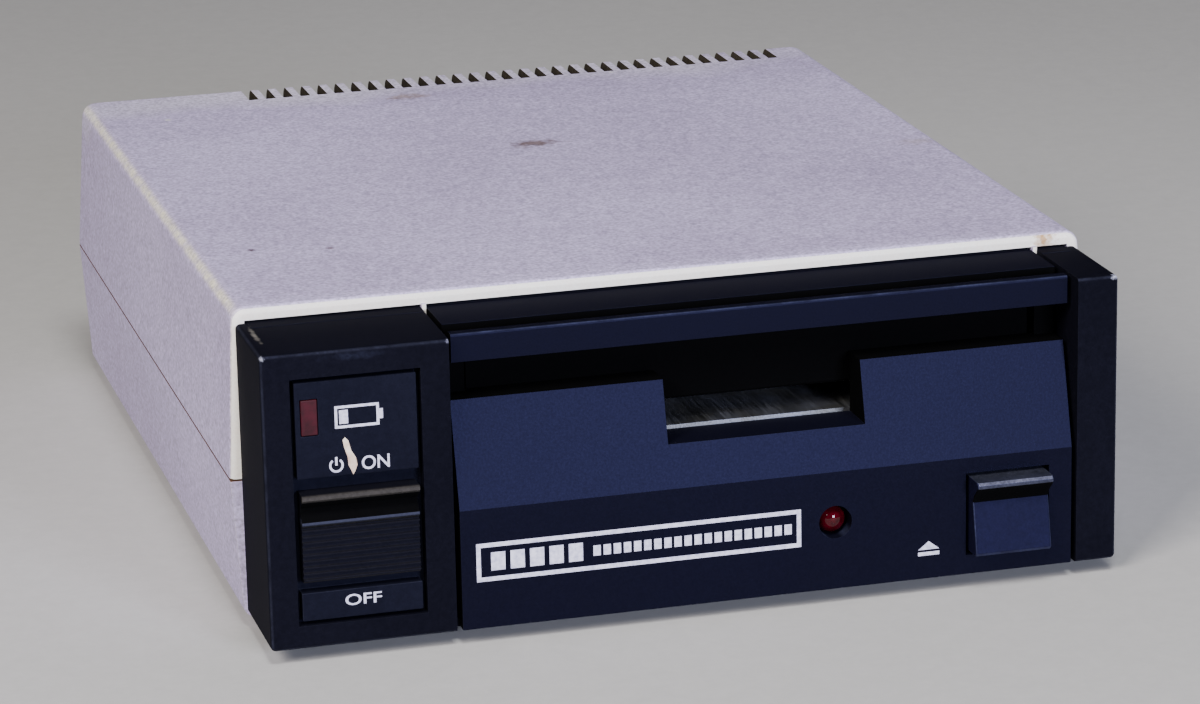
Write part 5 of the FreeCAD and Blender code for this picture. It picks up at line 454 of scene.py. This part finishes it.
# %% Cells and capacitors
CELL_FRONT, CELL_LONG, CELL_BARE, CELL_BAND = 39.8, 50.9, 1.6, 9.0
cell_jacket, tree, shader, place = blank("printed_steel_cell_jacket")
parts = add(tree, "ShaderNodeSeparateXYZ", {0: place}).outputs
back = add(tree, "ShaderNodeMath", {0: parts[1], 1: on_panel(0, CELL_FRONT, 0).y}, operation="SUBTRACT")
along = add(tree, "ShaderNodeMath", {0: back, 1: CELL_LONG * MM}, operation="MODULO")
band = add(tree, "ShaderNodeMath", {0: along, 1: CELL_BAND * MM}, operation="LESS_THAN")
ends = add(tree, "ShaderNodeMath", {0: along, 1: CELL_LONG / 2 * MM}, operation="PINGPONG")
bare = add(tree, "ShaderNodeMath", {0: ends, 1: CELL_BARE * MM}, operation="LESS_THAN")
paint = patchy(tree, place, 5, 5.0, "1f2226", "34373c", 0.4, 0.8)[0]
for mask, colour in ((band, "b07a3c"), (bare, "c6c5c0")):
    paint = add(tree, "ShaderNodeMix", {0: mask, 6: paint, 7: tone(colour)}, data_type="RGBA").outputs[2]
fill(tree, shader, {"Base Color": paint, "Metallic": bare, "Roughness": 0.32})

capacitor_sleeve, tree, shader, place = blank("shrunk_vinyl_sleeve_and_aluminium")
facing = add(tree, "ShaderNodeTexCoord").outputs["Normal"]
up_share = add(tree, "ShaderNodeSeparateXYZ", {0: facing}).outputs[2]
top = add(tree, "ShaderNodeMath", {0: up_share, 1: 0.8}, operation="GREATER_THAN")
paint = patchy(tree, place, 2, 4.0, "1c2c4e", "2a3b60")[0]
paint = add(tree, "ShaderNodeMix", {0: top, 6: paint, 7: tone("c9cacc")}, data_type="RGBA").outputs[2]
fill(tree, shader, {"Base Color": paint, "Metallic": top, "Roughness": 0.36})
print("two-part finishes:", cell_jacket.name, capacitor_sleeve.name)

# %% [markdown]
# ## Ink
# The print on the front is white ink, screened on, so it stands a hair proud, covers a little
# unevenly and has lost some body at its rims. A fleck of cream paint has dried on the label.

# %% White ink and a chip of cream paint
def laid_ink(name, body, thin, patch_mm):
    """Screened ink or a fleck of paint, which covers a little unevenly."""
    material, tree, shader, place = blank(name)
    paint, cover = patchy(tree, place, patch_mm, 4.0, body, thin, 0.35, 0.7)
    dull = add(tree, "ShaderNodeMapRange", {"Value": cover, "To Min": 0.4, "To Max": 0.6})
    fill(tree, shader, {"Base Color": paint, "Roughness": dull})
    return material


white_ink = laid_ink("white_ink_screened", "e6e4f6", "b9b8d2", 0.7)
cream_paint = laid_ink("cream_paint_fleck", "f2e2cd", "cfae98", 1.2)
print("inks:", white_ink.name, cream_paint.name)

# %% [markdown]
# ## Which finish goes where
# Every solid came with the name of a material slot, so the table follows those names, and the few
# pieces that share a slot but look different are named one by one after it.

# %% Give every solid its finish
finishes = {"case_plastic": case_abs, "frame_plastic": frame_abs, "control_plastic": knob_abs,
            "lens_plastic": red_epoxy, "foot_rubber": foot_rubber, "belt_rubber": belt_rubber,
            "plated_steel": chassis_zinc, "bright_steel": ground_steel, "spring_steel": spring_wire,
            "screw_steel": screw_zinc, "motor_steel": motor_can, "bearing_brass": bronze,
            "white_plastic": white_acetal, "black_plastic": black_nylon, "board": board_flat,
            "chip": chip_epoxy, "capacitor": capacitor_sleeve, "contact_brass": pin_brass,
            "cell_jacket": cell_jacket, "contact_steel": contact_nickel}
finish_of = {name: finishes[slots[name]] for name in nodes} | {
    "drive_faceplate": plate_abs, "eject_button": button_abs, "label_insert": label_abs,
    "dust_flap": flap_and_painted_shade_abs, "low_battery_lens": red_acrylic, "switch_board": board_upright,
    "lamp_board": board_upright}
for name, piece in nodes.items():
    for slot in piece.material_slots:
        slot.material = finish_of[name]
print(len(finish_of), "solids dressed in", len(set(finish_of.values())), "finishes")

# %% [markdown]
# ## Rounding the moulded edges
# No moulding has a knife edge, and it is on its rounded edges that a black front catches the light.
# The solids keep their larger radii, and the small ones are added here. A solid's mesh is loose
# triangles, so a copy is merged and its flat faces are made whole again. The Bevel modifier rounds
# the edges that are marked for it, which are those that turn by more than 19 degrees. The facets
# of the larger radii turn by 15 degrees at most, so they are left alone. A crease between two
# broad faces, such as the one under the faceplate's slope, is marked from 8 degrees up. Normals
# weighted by area keep the flat faces flat and let the narrow ones between them blend.

# %% A copy with rounded edges
MERGE, SLIVER, FLAT = 0.002 * MM, 0.02 * MM, math.radians(0.3)
SHARP, CREASE, BROAD = math.radians(19), math.radians(8), 100 * MM ** 2


def eased(node, radius_mm):
    """A copy of a solid with its sharp edges rounded, which stands for the solid."""
    mesh = nodes[node].data.copy()
    shape = bmesh.new()
    shape.from_mesh(mesh)
    bmesh.ops.remove_doubles(shape, verts=shape.verts, dist=MERGE)
    bmesh.ops.dissolve_degenerate(shape, edges=shape.edges, dist=SLIVER)
    bmesh.ops.dissolve_limit(shape, angle_limit=FLAT, verts=shape.verts, edges=shape.edges)
    rounded_by = shape.edges.layers.float.new("bevel_weight_edge")
    for edge in shape.edges:
        turn = edge.calc_face_angle(0.0)
        crease = turn > CREASE and min(face.calc_area() for face in edge.link_faces) > BROAD
        edge[rounded_by] = float(turn > SHARP or crease)
    shape.to_mesh(mesh)
    shape.free()
    mesh.shade_smooth()
    piece = shown(node + "_moulding", mesh)
    bevel = piece.modifiers.new("rounded_edges", "BEVEL")
    bevel.width = radius_mm * MM
    bevel.segments = 2
    bevel.limit_method = "WEIGHT"
    smooth = piece.modifiers.new("area_normals", "WEIGHTED_NORMAL")
    smooth.mode = "FACE_AREA"
    smooth.weight = 90
    rounded = plain_mesh(piece)
    piece.modifiers.clear()
    piece.data = rounded
    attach(piece, nodes[node]["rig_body"])
    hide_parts(node)
    return piece


for node, radius_mm in {"upper_shell": 0.3, "lower_shell": 0.3, "battery_door": 0.3, "front_frame": 0.35,
                        "label_insert": 0.2, "drive_faceplate": 0.3, "eject_button": 0.25, "power_knob": 0.1,
                        "low_battery_lens": 0.15, "rubber_feet": 0.4, "dc_jack": 0.25,
                        "data_connector": 0.25, "battery_holder": 0.3, "head_carriage": 0.2}.items():
    piece = eased(node, radius_mm)
    print(piece.name, len(piece.data.polygons), "faces")

# %% [markdown]
# ## Faces with another finish
# One moulding doesn't look the same all over. The lid's lip is painted near white, a painted
# highlight on its rounded edge with a cream tint. Dirt has gathered in the split between the shells,
# and the walls of the vents are painted dark as painted shade. The mouth for the disk, the underside
# of the eject button's ridge and the scoop of the knob are painted matt black as painted shade, and
# the top of the ridge is painted lighter as a painted highlight, with the low roughness of a finish
# polished by fingers. These places end where a face ends, so the faces get a second finish, picked
# by where they are and which way they look.

# %% Repaint faces by their place and direction
def repaint(node, finish, wanted):
    """Gives a moulding's faces another finish where wanted(centre in panel mm, normal) holds."""
    mesh = bpy.data.objects[node + "_moulding"].data
    mesh.materials.append(finish)
    changed = [face for face in mesh.polygons if wanted((face.center - PANEL) / MM, face.normal)]
    for face in changed:
        face.material_index = len(mesh.materials) - 1
    print(node, "has", len(changed), "faces in", finish.name)


# Painted highlight: the front faces of the lid's lip get the near-white finish.
repaint("upper_shell", lip_abs_painted_highlight, lambda at, out: at.y < 19.7 and out.y < -0.6)
# Painted shade: the side walls of the vent slots get the dark finish.
repaint("upper_shell", vent_walls_painted_shade, lambda at, out: at.y > 145 and abs(out.x) > 0.9 and abs(at.x) < 70)
repaint("upper_shell", grimed_abs, lambda at, out: at.z < 22.9 and out.z < -0.15 and at.y > 19.5)
repaint("lower_shell", grimed_abs, lambda at, out: at.z > 22.1 and out.z > 0.9)
# Painted shade: the recessed faces of the disk mouth get the matt black.
repaint("drive_faceplate", flap_and_painted_shade_abs, lambda at, out: at.y > 3.9 and 31.5 < at.z < 47)
# Painted shade: the faces that look down under the button's ridge get the matt black.
repaint("eject_button", flap_and_painted_shade_abs, lambda at, out: 12.5 < at.z < 15.6 and out.z < -0.1)
# Painted highlight: the top faces of the button's ridge get the lighter finish.
repaint("eject_button", ridge_abs_painted_highlight, lambda at, out: at.z > 15.6 and at.y < -2.5 and abs(out.x) < 0.5)
# Painted shade: the front faces of the knob's scoop get the matt black.
repaint("power_knob", flap_and_painted_shade_abs, lambda at, out: 20.9 < at.z < 24.2 and out.y < -0.5)

# %% [markdown]
# ## Print on the front
# The front says where the switch is off and on, which lamp warns of a low battery, and with an
# arrow what the button does. A plain outlined plate holds a row of bars. A word is a text curve,
# made a mesh and then stretched to the rectangle it is to fill. A symbol is a flat outline. Both
# get the ink's thickness, and lie half as deep again so that no gap shows under them.

# %% Words and symbols as thin ink
INK_MM, INK_SUNK_MM, STROKE_GAIN = 0.03, 0.015, 0.012


def printed(name, mesh, finish):
    """A finished print on the front, dressed in its ink."""
    mesh.materials.clear()
    mesh.materials.append(finish)
    piece = shown(name, mesh)
    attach(piece, "case")


def place_print(name, shapes, finish, front=0.0):
    """Join flat outlines, given on the panel as (across, up), into one thin print on the front."""
    shape = bmesh.new()
    for outline in shapes:
        shape.faces.new([shape.verts.new(on_panel(x, front - INK_MM, z)) for x, z in outline])
    deep = bmesh.ops.extrude_face_region(shape, geom=shape.faces[:])
    moved = [item for item in deep["geom"] if isinstance(item, bmesh.types.BMVert)]
    bmesh.ops.translate(shape, verts=moved, vec=(0, (INK_MM + INK_SUNK_MM) * MM, 0))
    bmesh.ops.recalc_face_normals(shape, faces=shape.faces)
    mesh = bpy.data.meshes.new(name)
    shape.to_mesh(mesh)
    shape.free()
    printed(name, mesh, finish)


def word(text, left, right, low, high, front):
    """A word as ink that fills a rectangle on the panel."""
    curve = bpy.data.curves.new("word_" + text, "FONT")
    curve.body = text
    curve.offset = STROKE_GAIN
    curve.extrude = 0.5
    letters = shown("word_" + text, curve)
    mesh = plain_mesh(letters)
    bpy.data.objects.remove(letters)
    low_corner, high_corner = (Vector(pick(v.co[axis] for v in mesh.vertices) for axis in range(3))
                               for pick in (min, max))
    size = high_corner - low_corner
    for vertex in mesh.vertices:
        share = vertex.co - low_corner
        vertex.co = on_panel(left + (right - left) * share.x / size.x,
                             front - INK_MM + (INK_MM + INK_SUNK_MM) * (1 - share.z / size.z),
                             low + (high - low) * share.y / size.y)
    printed("word_" + text.lower(), mesh, white_ink)


def bar(left, right, low, high):
    """An upright rectangle."""
    return [(left, low), (right, low), (right, high), (left, high)]


def frame_of(left, right, low, high, line):
    """Four bars round a rectangle."""
    inner_low, inner_high = low + line, high - line
    return [bar(left, right, low, inner_low), bar(left, right, inner_high, high),
            bar(left, left + line, inner_low, inner_high), bar(right - line, right, inner_low, inner_high)]


def arc(across, up, outer, inner, start, end, steps=28):
    """A ring broken by a gap, from one angle to another in degrees."""
    turns = [math.radians(start + (end - start) * step / steps) for step in range(steps + 1)]
    return [(across + radius * math.cos(turn), up + radius * math.sin(turn))
            for radius, way in ((outer, 1), (inner, -1)) for turn in turns[::way]]


print("ink stands", INK_MM, "mm proud")

# %% [markdown]
# What is printed by the switch stands on the label, which lies back from the panel's face. The fleck
# of paint is an outline of its own, laid over the ink.

# %% Print the front
LABEL_FRONT = (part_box("label_insert")[0].y - PANEL.y) / MM
word("OFF", -58.0, -52.2, 6.4, 8.2, LABEL_FRONT)
word("ON", -54.6, -50.2, 28.3, 30.5, LABEL_FRONT)
power = [arc(-58.6, 29.4, 1.15, 0.8, 125, 415), bar(-58.78, -58.42, 29.4, 30.75)]
battery = frame_of(-58.6, -51.6, 35.3, 38.9, 0.42)
battery += [bar(-51.6, -51.0, 36.3, 37.9), bar(-57.9, -56.5, 36.0, 38.2)]
place_print("switch_symbols", power + battery, white_ink, LABEL_FRONT)
fleck = [(-57.5, 33.4), (-57.1, 33.8), (-56.6, 33.2), (-56.2, 31.6), (-55.5, 30.4), (-55.3, 29.2),
         (-55.7, 28.2), (-56.0, 27.7), (-56.3, 28.4), (-56.7, 29.3), (-56.8, 30.6), (-57.3, 32.2)]
place_print("paint_fleck", [fleck], cream_paint, LABEL_FRONT - INK_MM)

plate_outline = frame_of(-36.95, 16.3, 7.9, 14.2, 0.7)
BOLD_PITCH, FINE_PITCH = 3.15, 1.66
bold = [bar(-34.6 + BOLD_PITCH * step, -32.3 + BOLD_PITCH * step, 9.6, 12.6) for step in range(5)]
fine = [bar(-18.0 + FINE_PITCH * step, -16.8 + FINE_PITCH * step, 10.2, 11.9) for step in range(20)]
arrow = [[(36.0, 5.1), (39.6, 5.1), (37.8, 6.5)], bar(36.0, 39.6, 4.1, 4.7)]
place_print("front_print", plate_outline + bold + fine + arrow, white_ink)
print("plate:", len(bold), "bold bars and", len(fine), "fine ones")

# %% [markdown]
# ## The activity lamp
# The lamp is round all the way: a dome, a body and a flange that stops it in its boss. Its outline
# from the tip to the back is carried round in 48 steps. Smooth shading makes the dome a clean
# mirror for the lights, and a limit on the angle keeps the flange crisp.

# %% Carry the lamp's outline round
LAMP_RADIUS, DOME_TALL, FLANGE_LONG, LAMP_STEPS, DOME_STEPS, CRISP = 2.4, 2.2, 1.0, 48, 12, 40
low, high = (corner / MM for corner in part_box("activity_lamp"))
middle, flange_radius, flange_start = (low + high) / 2, (high.x - low.x) / 2, high.y - low.y - FLANGE_LONG
quarter = [math.pi / 2 * step / DOME_STEPS for step in range(1, DOME_STEPS + 1)]
outline = [(LAMP_RADIUS * math.sin(turn), DOME_TALL * (1 - math.cos(turn))) for turn in quarter]
outline += [(LAMP_RADIUS, flange_start), (flange_radius, flange_start), (flange_radius, high.y - low.y)]
circle = [2 * math.pi * step / LAMP_STEPS for step in range(LAMP_STEPS)]
points, faces = [(middle.x, low.y, middle.z), (middle.x, high.y, middle.z)], []
for radius, back in outline:
    points += [(middle.x + radius * math.cos(turn), low.y + back, middle.z + radius * math.sin(turn))
               for turn in circle]
last = (len(outline) - 1) * LAMP_STEPS
for step in range(LAMP_STEPS):
    near, far = 2 + step, 2 + (step + 1) % LAMP_STEPS
    faces.append((0, near, far))
    for ring in range(0, last, LAMP_STEPS):
        faces.append((near + ring, near + ring + LAMP_STEPS, far + ring + LAMP_STEPS, far + ring))
    faces.append((near + last, 1, far + last))
lamp_mesh = bpy.data.meshes.new("activity_lamp_cast")
lamp_mesh.from_pydata([Vector(point) * MM for point in points], [], faces)
lamp_mesh.shade_smooth()
lamp_mesh.set_sharp_from_angle(angle=math.radians(CRISP))
lamp_mesh.materials.append(red_epoxy)
lamp = shown("activity_lamp_cast", lamp_mesh)
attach(lamp, "case")
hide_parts("activity_lamp")
print("lamp:", len(lamp_mesh.polygons), "faces")

# %% [markdown]
# ## A tree for what repeats
# Screws, springs, leads and threads repeat one shape along a path or over a set of points, which is
# what Geometry Nodes do well. Each tree has named inputs for its sizes and one for its finish, and
# ends in Realize Instances and Set Material. Each shape is made along its own z axis in
# millimetres, kept as a plain mesh, and turned and moved to its place in metres. A spring and a
# thread are both a helix with a section drawn along it, so one helper winds them.

# %% Start a tree, end it, and keep its result
def start_tree(name, *sizes):
    """An empty tree with a named input for each size, and its input node's sockets."""
    tree = bpy.data.node_groups.new(name, "GeometryNodeTree")
    sockets = [("Geometry", "INPUT", "Geometry"), *((size, "INPUT", "Float") for size in sizes),
               ("Finish", "INPUT", "Material"), ("Geometry", "OUTPUT", "Geometry")]
    for label, way, holds in sockets:
        tree.interface.new_socket(label, in_out=way, socket_type="NodeSocket" + holds)
    return tree, add(tree, "NodeGroupInput").outputs


def wound(tree, steps, turns, radius, height, corners, thick):
    """A helix of so many steps to the turn, with a cornered or round section drawn along it."""
    helix = add(tree, "GeometryNodeCurveSpiral", {
        "Resolution": steps, "Rotations": turns, "Height": height,
        "Start Radius": radius, "End Radius": radius})
    section = add(tree, "GeometryNodeCurvePrimitiveCircle", {"Resolution": corners, "Radius": thick})
    return add(tree, "GeometryNodeCurveToMesh", {
        "Curve": helix, "Profile Curve": section, "Fill Caps": True})


def end_tree(tree, geometry, finish):
    """The end that every tree has: its instances are made real and get their finish."""
    plain = add(tree, "GeometryNodeRealizeInstances", {0: geometry})
    dressed = add(tree, "GeometryNodeSetMaterial", {"Geometry": plain, "Material": finish})
    add(tree, "NodeGroupOutput", {"Geometry": dressed})


def grown(name, tree, finish, stance, points=((0, 0, 0),), **sizes):
    """Run a tree on points in millimetres and keep what it makes as a plain mesh, put in its place."""
    base = bpy.data.meshes.new(name)
    base.from_pydata(list(points), [], [])
    piece = shown(name, base)
    maker = piece.modifiers.new("maker", "NODES")
    maker.node_group = tree
    values = {key.replace("_", " "): float(value) for key, value in sizes.items()} | {"Finish": finish}
    for socket in tree.interface.items_tree:
        if socket.in_out == "INPUT" and socket.name in values:
            maker[socket.identifier] = values[socket.name]
    mesh = plain_mesh(piece)
    piece.modifiers.remove(maker)
    mesh.transform(stance @ Matrix.Scale(MM, 4))
    piece.data = mesh
    print(name, len(mesh.polygons), "faces")
    return piece


def separate_boxes(node):
    """The lowest and highest corner of each separate solid in a node, in millimetres."""
    shape = bmesh.new()
    shape.from_mesh(nodes[node].data)
    bmesh.ops.remove_doubles(shape, verts=shape.verts, dist=MERGE)
    waiting, boxes = set(shape.verts), []
    while waiting:
        reached = [waiting.pop()]
        for vertex in reached:
            near = {edge.other_vert(vertex) for edge in vertex.link_edges} & waiting
            waiting -= near
            reached.extend(near)
        boxes.append([Vector(pick(v.co[axis] for v in reached) for axis in range(3)) / MM
                      for pick in (min, max)])
    shape.free()
    return sorted(boxes, key=lambda box: tuple(round(c, 2) for c in box[0]))


print("chips:", len(separate_boxes("board_chips")), "- case screws:", len(separate_boxes("case_screws")))

# %% [markdown]
# ## Cross-head screws
# A pan-head screw is a low cone with a cross cut into it, a shank and a thread. The cross is two
# thin blocks taken away from the head, and the thread a helix with a three-cornered section. The
# tree puts a screw on each point that it is given. Most of its sizes are shares of a radius.

# %% The screw tree
TIP_LONG, TIP_RADIUS, THREAD_START, HEAD_SIDES, SHANK_SIDES, THREAD_STEPS = 1.2, 0.2, 0.9, 28, 16, 14
screw_tree, size = start_tree(
    "cross_head_screw", "Head radius", "Head height", "Shank radius", "Length", "Pitch")
crown, wide, thin, core, crest, ridge, below = (
    add(screw_tree, "ShaderNodeMath", {0: size[whole], 1: share}, operation="MULTIPLY")
    for whole, share in (("Head radius", 0.72), ("Head radius", 1.1), ("Head radius", 0.24),
                         ("Shank radius", 0.78), ("Shank radius", 0.86), ("Shank radius", 0.13),
                         ("Length", -1.0)))
head = add(screw_tree, "GeometryNodeMeshCone", {
    "Vertices": HEAD_SIDES, "Radius Bottom": size["Head radius"], "Radius Top": crown,
    "Depth": size["Head height"]})
lift = add(screw_tree, "ShaderNodeCombineXYZ", {2: size["Head height"]})
for sides in ({0: wide, 1: thin, 2: wide}, {0: thin, 1: wide, 2: wide}):
    extent = add(screw_tree, "ShaderNodeCombineXYZ", sides)
    block = add(screw_tree, "GeometryNodeMeshCube", {"Size": extent})
    block = add(screw_tree, "GeometryNodeTransform", {"Geometry": block, "Translation": lift})
    head = add(screw_tree, "GeometryNodeMeshBoolean", {"Mesh 1": head, "Mesh 2": block},
               operation="DIFFERENCE")
rest = add(screw_tree, "ShaderNodeMath", {0: size["Length"], 1: TIP_LONG}, operation="SUBTRACT")
turns = add(screw_tree, "ShaderNodeMath", {0: rest, 1: size["Pitch"]}, operation="DIVIDE")
tip, stem = (add(screw_tree, "GeometryNodeMeshCone", {
    "Vertices": SHANK_SIDES, "Radius Bottom": bottom, "Radius Top": core, "Depth": depth})
             for bottom, depth in ((TIP_RADIUS, TIP_LONG), (core, rest)))
thread = wound(screw_tree, THREAD_STEPS, turns, crest, rest, 3, ridge)
stem, thread = (add(screw_tree, "GeometryNodeTransform", {"Geometry": part, "Translation": (0, 0, rise)})
                for part, rise in ((stem, TIP_LONG), (thread, THREAD_START)))
lower = add(screw_tree, "GeometryNodeJoinGeometry", {0: [tip, stem, thread]})
drop = add(screw_tree, "ShaderNodeCombineXYZ", {2: below})
lower = add(screw_tree, "GeometryNodeTransform", {"Geometry": lower, "Translation": drop})
whole = add(screw_tree, "GeometryNodeJoinGeometry", {0: [head, lower]})
rows = add(screw_tree, "GeometryNodeInstanceOnPoints", {"Points": size["Geometry"], "Instance": whole})
end_tree(screw_tree, rows, size["Finish"])

# %% [markdown]
# Each solid screw says by its box where a screw goes and how long it is. Its point is worked out as
# if the screw stood upright, and is then turned back with it.

# %% Put the screws in
HEAD_TALL = 1.2
UPRIGHT, UPSIDE_DOWN = Matrix.Identity(4), Matrix.Rotation(math.pi, 4, "X")
TO_THE_REAR = Matrix.Rotation(-math.pi / 2, 4, "X")
for node, stance, head_radius, shank_radius, pitch in (
        ("case_screws", UPSIDE_DOWN, 2.4, 1.5, 1.2), ("chassis_screws", UPRIGHT, 2.0, 1.0, 0.8),
        ("board_screws", UPRIGHT, 2.0, 1.0, 0.8), ("switch_board_screws", TO_THE_REAR, 2.0, 1.0, 0.8)):
    ends = [[stance.inverted() @ corner for corner in box] for box in separate_boxes(node)]
    points = [((a.x + b.x) / 2, (a.y + b.y) / 2, max(a.z, b.z) - HEAD_TALL) for a, b in ends]
    length = abs(ends[0][1].z - ends[0][0].z) - HEAD_TALL
    piece = grown(
        node + "_cross_head", screw_tree, screw_zinc, stance, points, Head_radius=head_radius,
        Head_height=HEAD_TALL, Shank_radius=shank_radius, Length=length, Pitch=pitch)
    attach(piece, "case")
    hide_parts(node)

# %% [markdown]
# ## Springs and the lead screw
# The eject spring is a helix of round wire, and the lead screw a bar with a ridge wound round it.

# %% The spring tree and the thread tree
WIRE_STEPS, WIRE_SIDES, BAR_SIDES, RIDGE_SIDES = 28, 10, 32, 4
spring_tree, size = start_tree("wound_wire", "Radius", "Wire radius", "Height", "Turns")
wire = wound(spring_tree, WIRE_STEPS, size["Turns"], size["Radius"], size["Height"], WIRE_SIDES,
             size["Wire radius"])
end_tree(spring_tree, add(spring_tree, "GeometryNodeSetShadeSmooth", {"Geometry": wire}), size["Finish"])

thread_tree, size = start_tree("threaded_bar", "Core radius", "Ridge width", "Height", "Pitch")
core = add(thread_tree, "GeometryNodeMeshCone", {
    "Vertices": BAR_SIDES, "Radius Bottom": size["Core radius"], "Radius Top": size["Core radius"],
    "Depth": size["Height"]})
turns = add(thread_tree, "ShaderNodeMath", {0: size["Height"], 1: size["Pitch"]}, operation="DIVIDE")
ridge = wound(thread_tree, WIRE_STEPS, turns, size["Core radius"], size["Height"], RIDGE_SIDES,
              size["Ridge width"])
end_tree(thread_tree, add(thread_tree, "GeometryNodeJoinGeometry", {0: [core, ridge]}), size["Finish"])
print("trees:", spring_tree.name, thread_tree.name)

# %% [markdown]
# The spring is pushed together as the button goes in. Here it is wound at its full length and given
# a mesh of its own. The lead screw carries one turn of thread every 3 mm, which is the distance the
# heads move in one turn.

# %% Wind the eject spring and cut the lead screw
SPRING_TURNS, SPRING_WIRE, SPRING_PRESSED = 9, 0.3, 9.2
low, high = (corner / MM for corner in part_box("eject_spring"))
spring_long = high.y - low.y
axis_start = Vector(((low.x + high.x) / 2, low.y + SPRING_WIRE, (low.z + high.z) / 2)) * MM
spring = grown(
    "eject_spring_wound", spring_tree, spring_wire, Matrix.Translation(axis_start) @ TO_THE_REAR,
    Radius=(high.x - low.x) / 2 - SPRING_WIRE, Wire_radius=SPRING_WIRE,
    Height=spring_long - 2 * SPRING_WIRE, Turns=SPRING_TURNS)
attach(spring, "case")
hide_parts("eject_spring")
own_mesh(spring)

RIDGE, SCREW_LEAD = 0.3, 3.0
low, high = (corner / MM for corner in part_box("lead_screw"))
axis_start = Vector(((low.x + high.x) / 2, low.y, (low.z + high.z) / 2)) * MM
lead_screw = grown(
    "lead_screw_threaded", thread_tree, ground_steel, Matrix.Translation(axis_start) @ TO_THE_REAR,
    Core_radius=(high.x - low.x) / 2 - RIDGE, Ridge_width=RIDGE, Height=high.y - low.y, Pitch=SCREW_LEAD)
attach(lead_screw, "screw")
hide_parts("lead_screw")

# %% [markdown]
# ## Leads of the chips
# Each chip stands on two rows of bent leads. One lead is three small blocks: out of the case, down,
# and out along the board. The tree sets one at every step of a line, and a half turn makes the
# second row. It runs once for each chip, and the results are joined into one piece.

# %% Leads along both sides of every chip
LEAD_PITCH, LEAD_WIDE, LEAD_THICK, LEAD_OUT, LEAD_RISE, FOOT_AT = 1.27, 0.45, 0.2, 0.55, 1.2, 1.4
lead_tree, size = start_tree("chip_leads", "Row", "Half depth")
blocks = []
for extent, centre in (((LEAD_WIDE, LEAD_OUT, LEAD_THICK), (0, LEAD_OUT / 2, LEAD_RISE)),
                       ((LEAD_WIDE, LEAD_THICK, LEAD_RISE), (0, LEAD_OUT, LEAD_RISE / 2)),
                       ((LEAD_WIDE, LEAD_OUT, LEAD_THICK), (0, FOOT_AT * LEAD_OUT, LEAD_THICK / 2))):
    block = add(lead_tree, "GeometryNodeMeshCube", {"Size": extent})
    blocks.append(add(lead_tree, "GeometryNodeTransform", {"Geometry": block, "Translation": centre}))
lead = add(lead_tree, "GeometryNodeJoinGeometry", {0: blocks})
count = add(lead_tree, "ShaderNodeMath", {0: size["Row"], 1: LEAD_PITCH}, operation="DIVIDE")
count = add(lead_tree, "ShaderNodeMath", {0: count}, operation="FLOOR")
first = add(lead_tree, "ShaderNodeMath", {0: count, 1: -LEAD_PITCH / 2, 2: LEAD_PITCH / 2},
            operation="MULTIPLY_ADD")
begin = add(lead_tree, "ShaderNodeCombineXYZ", {0: first, 1: size["Half depth"]})
line = add(lead_tree, "GeometryNodeMeshLine", {
    "Count": count, "Start Location": begin, "Offset": (LEAD_PITCH, 0, 0)})
row = add(lead_tree, "GeometryNodeInstanceOnPoints", {"Points": line, "Instance": lead})
opposite = add(lead_tree, "GeometryNodeTransform", {"Geometry": row, "Rotation": (0, 0, math.pi)})
end_tree(lead_tree, add(lead_tree, "GeometryNodeJoinGeometry", {0: [row, opposite]}), size["Finish"])

joined = bmesh.new()
for number, (low, high) in enumerate(separate_boxes("board_chips")):
    foot = Vector(((low.x + high.x) / 2, (low.y + high.y) / 2, low.z)) * MM
    row = grown(f"leads_{number}", lead_tree, contact_nickel, Matrix.Translation(foot),
                Row=high.x - low.x - LEAD_PITCH, Half_depth=(high.y - low.y) / 2)
    joined.from_mesh(row.data)
    bpy.data.objects.remove(row)
leads_mesh = bpy.data.meshes.new("chip_leads")
joined.to_mesh(leads_mesh)
joined.free()
leads_mesh.materials.append(contact_nickel)
chip_leads = shown("chip_leads", leads_mesh)
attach(chip_leads, "case")
print("chip leads:", len(leads_mesh.polygons), "faces")

# %% [markdown]
# ## The studio
# A pale floor and three soft lights. A broad one from the front left lights the case. A cool one
# stands where the faceplate's slope mirrors it, so the slope reads bluer and lighter than the flat
# below it. A high one picks out the rounded edge of the lid. The room itself is dim, because what
# stands behind the drive is mirrored in its black upper faces.

# %% Floor and lights
floor_mesh = bpy.data.meshes.new("pale_floor")
floor_mesh.from_pydata([(-3, -3, 0), (3, -3, 0), (3, 3, 0), (-3, 3, 0)], [], [(0, 1, 2, 3)])
floor_mesh.materials.append(moulded_plastic(
    "matt_pale_paint", "c9c8c6", "c4c3c1", "c9c8c6", grain_mm=1.5, speckle=0.02, rough=0.8, gloss=0.2,
    drift_mm=300))
floor = shown("pale_floor", floor_mesh)


def soft_light(name, place, size, watts, colour):
    """A square soft light that looks at the drive."""
    data = bpy.data.lights.new(name, "AREA")
    data.size = size
    data.energy = watts
    data.color = tone(colour)[:3]
    towards = (Vector(place) - AIM).to_track_quat("Z", "Y").to_matrix().to_4x4()
    shown(name, data).matrix_world = Matrix.Translation(place) @ towards


soft_light("key", (-0.75, -0.75, 0.75), 0.5, 16, "fff8f4")
soft_light("cool_front", (0.3, -1.17, 0.27), 0.3, 15, "e0e6ff")
soft_light("over_lip", (-0.1, -0.8, 1.2), 0.3, 10, "ffffff")
room = bpy.data.worlds.new("studio")
room.use_nodes = True
fill(room.node_tree, room.node_tree.nodes["Background"], {"Color": tone("b8bed0"), "Strength": 0.06})
bpy.context.scene.world = room
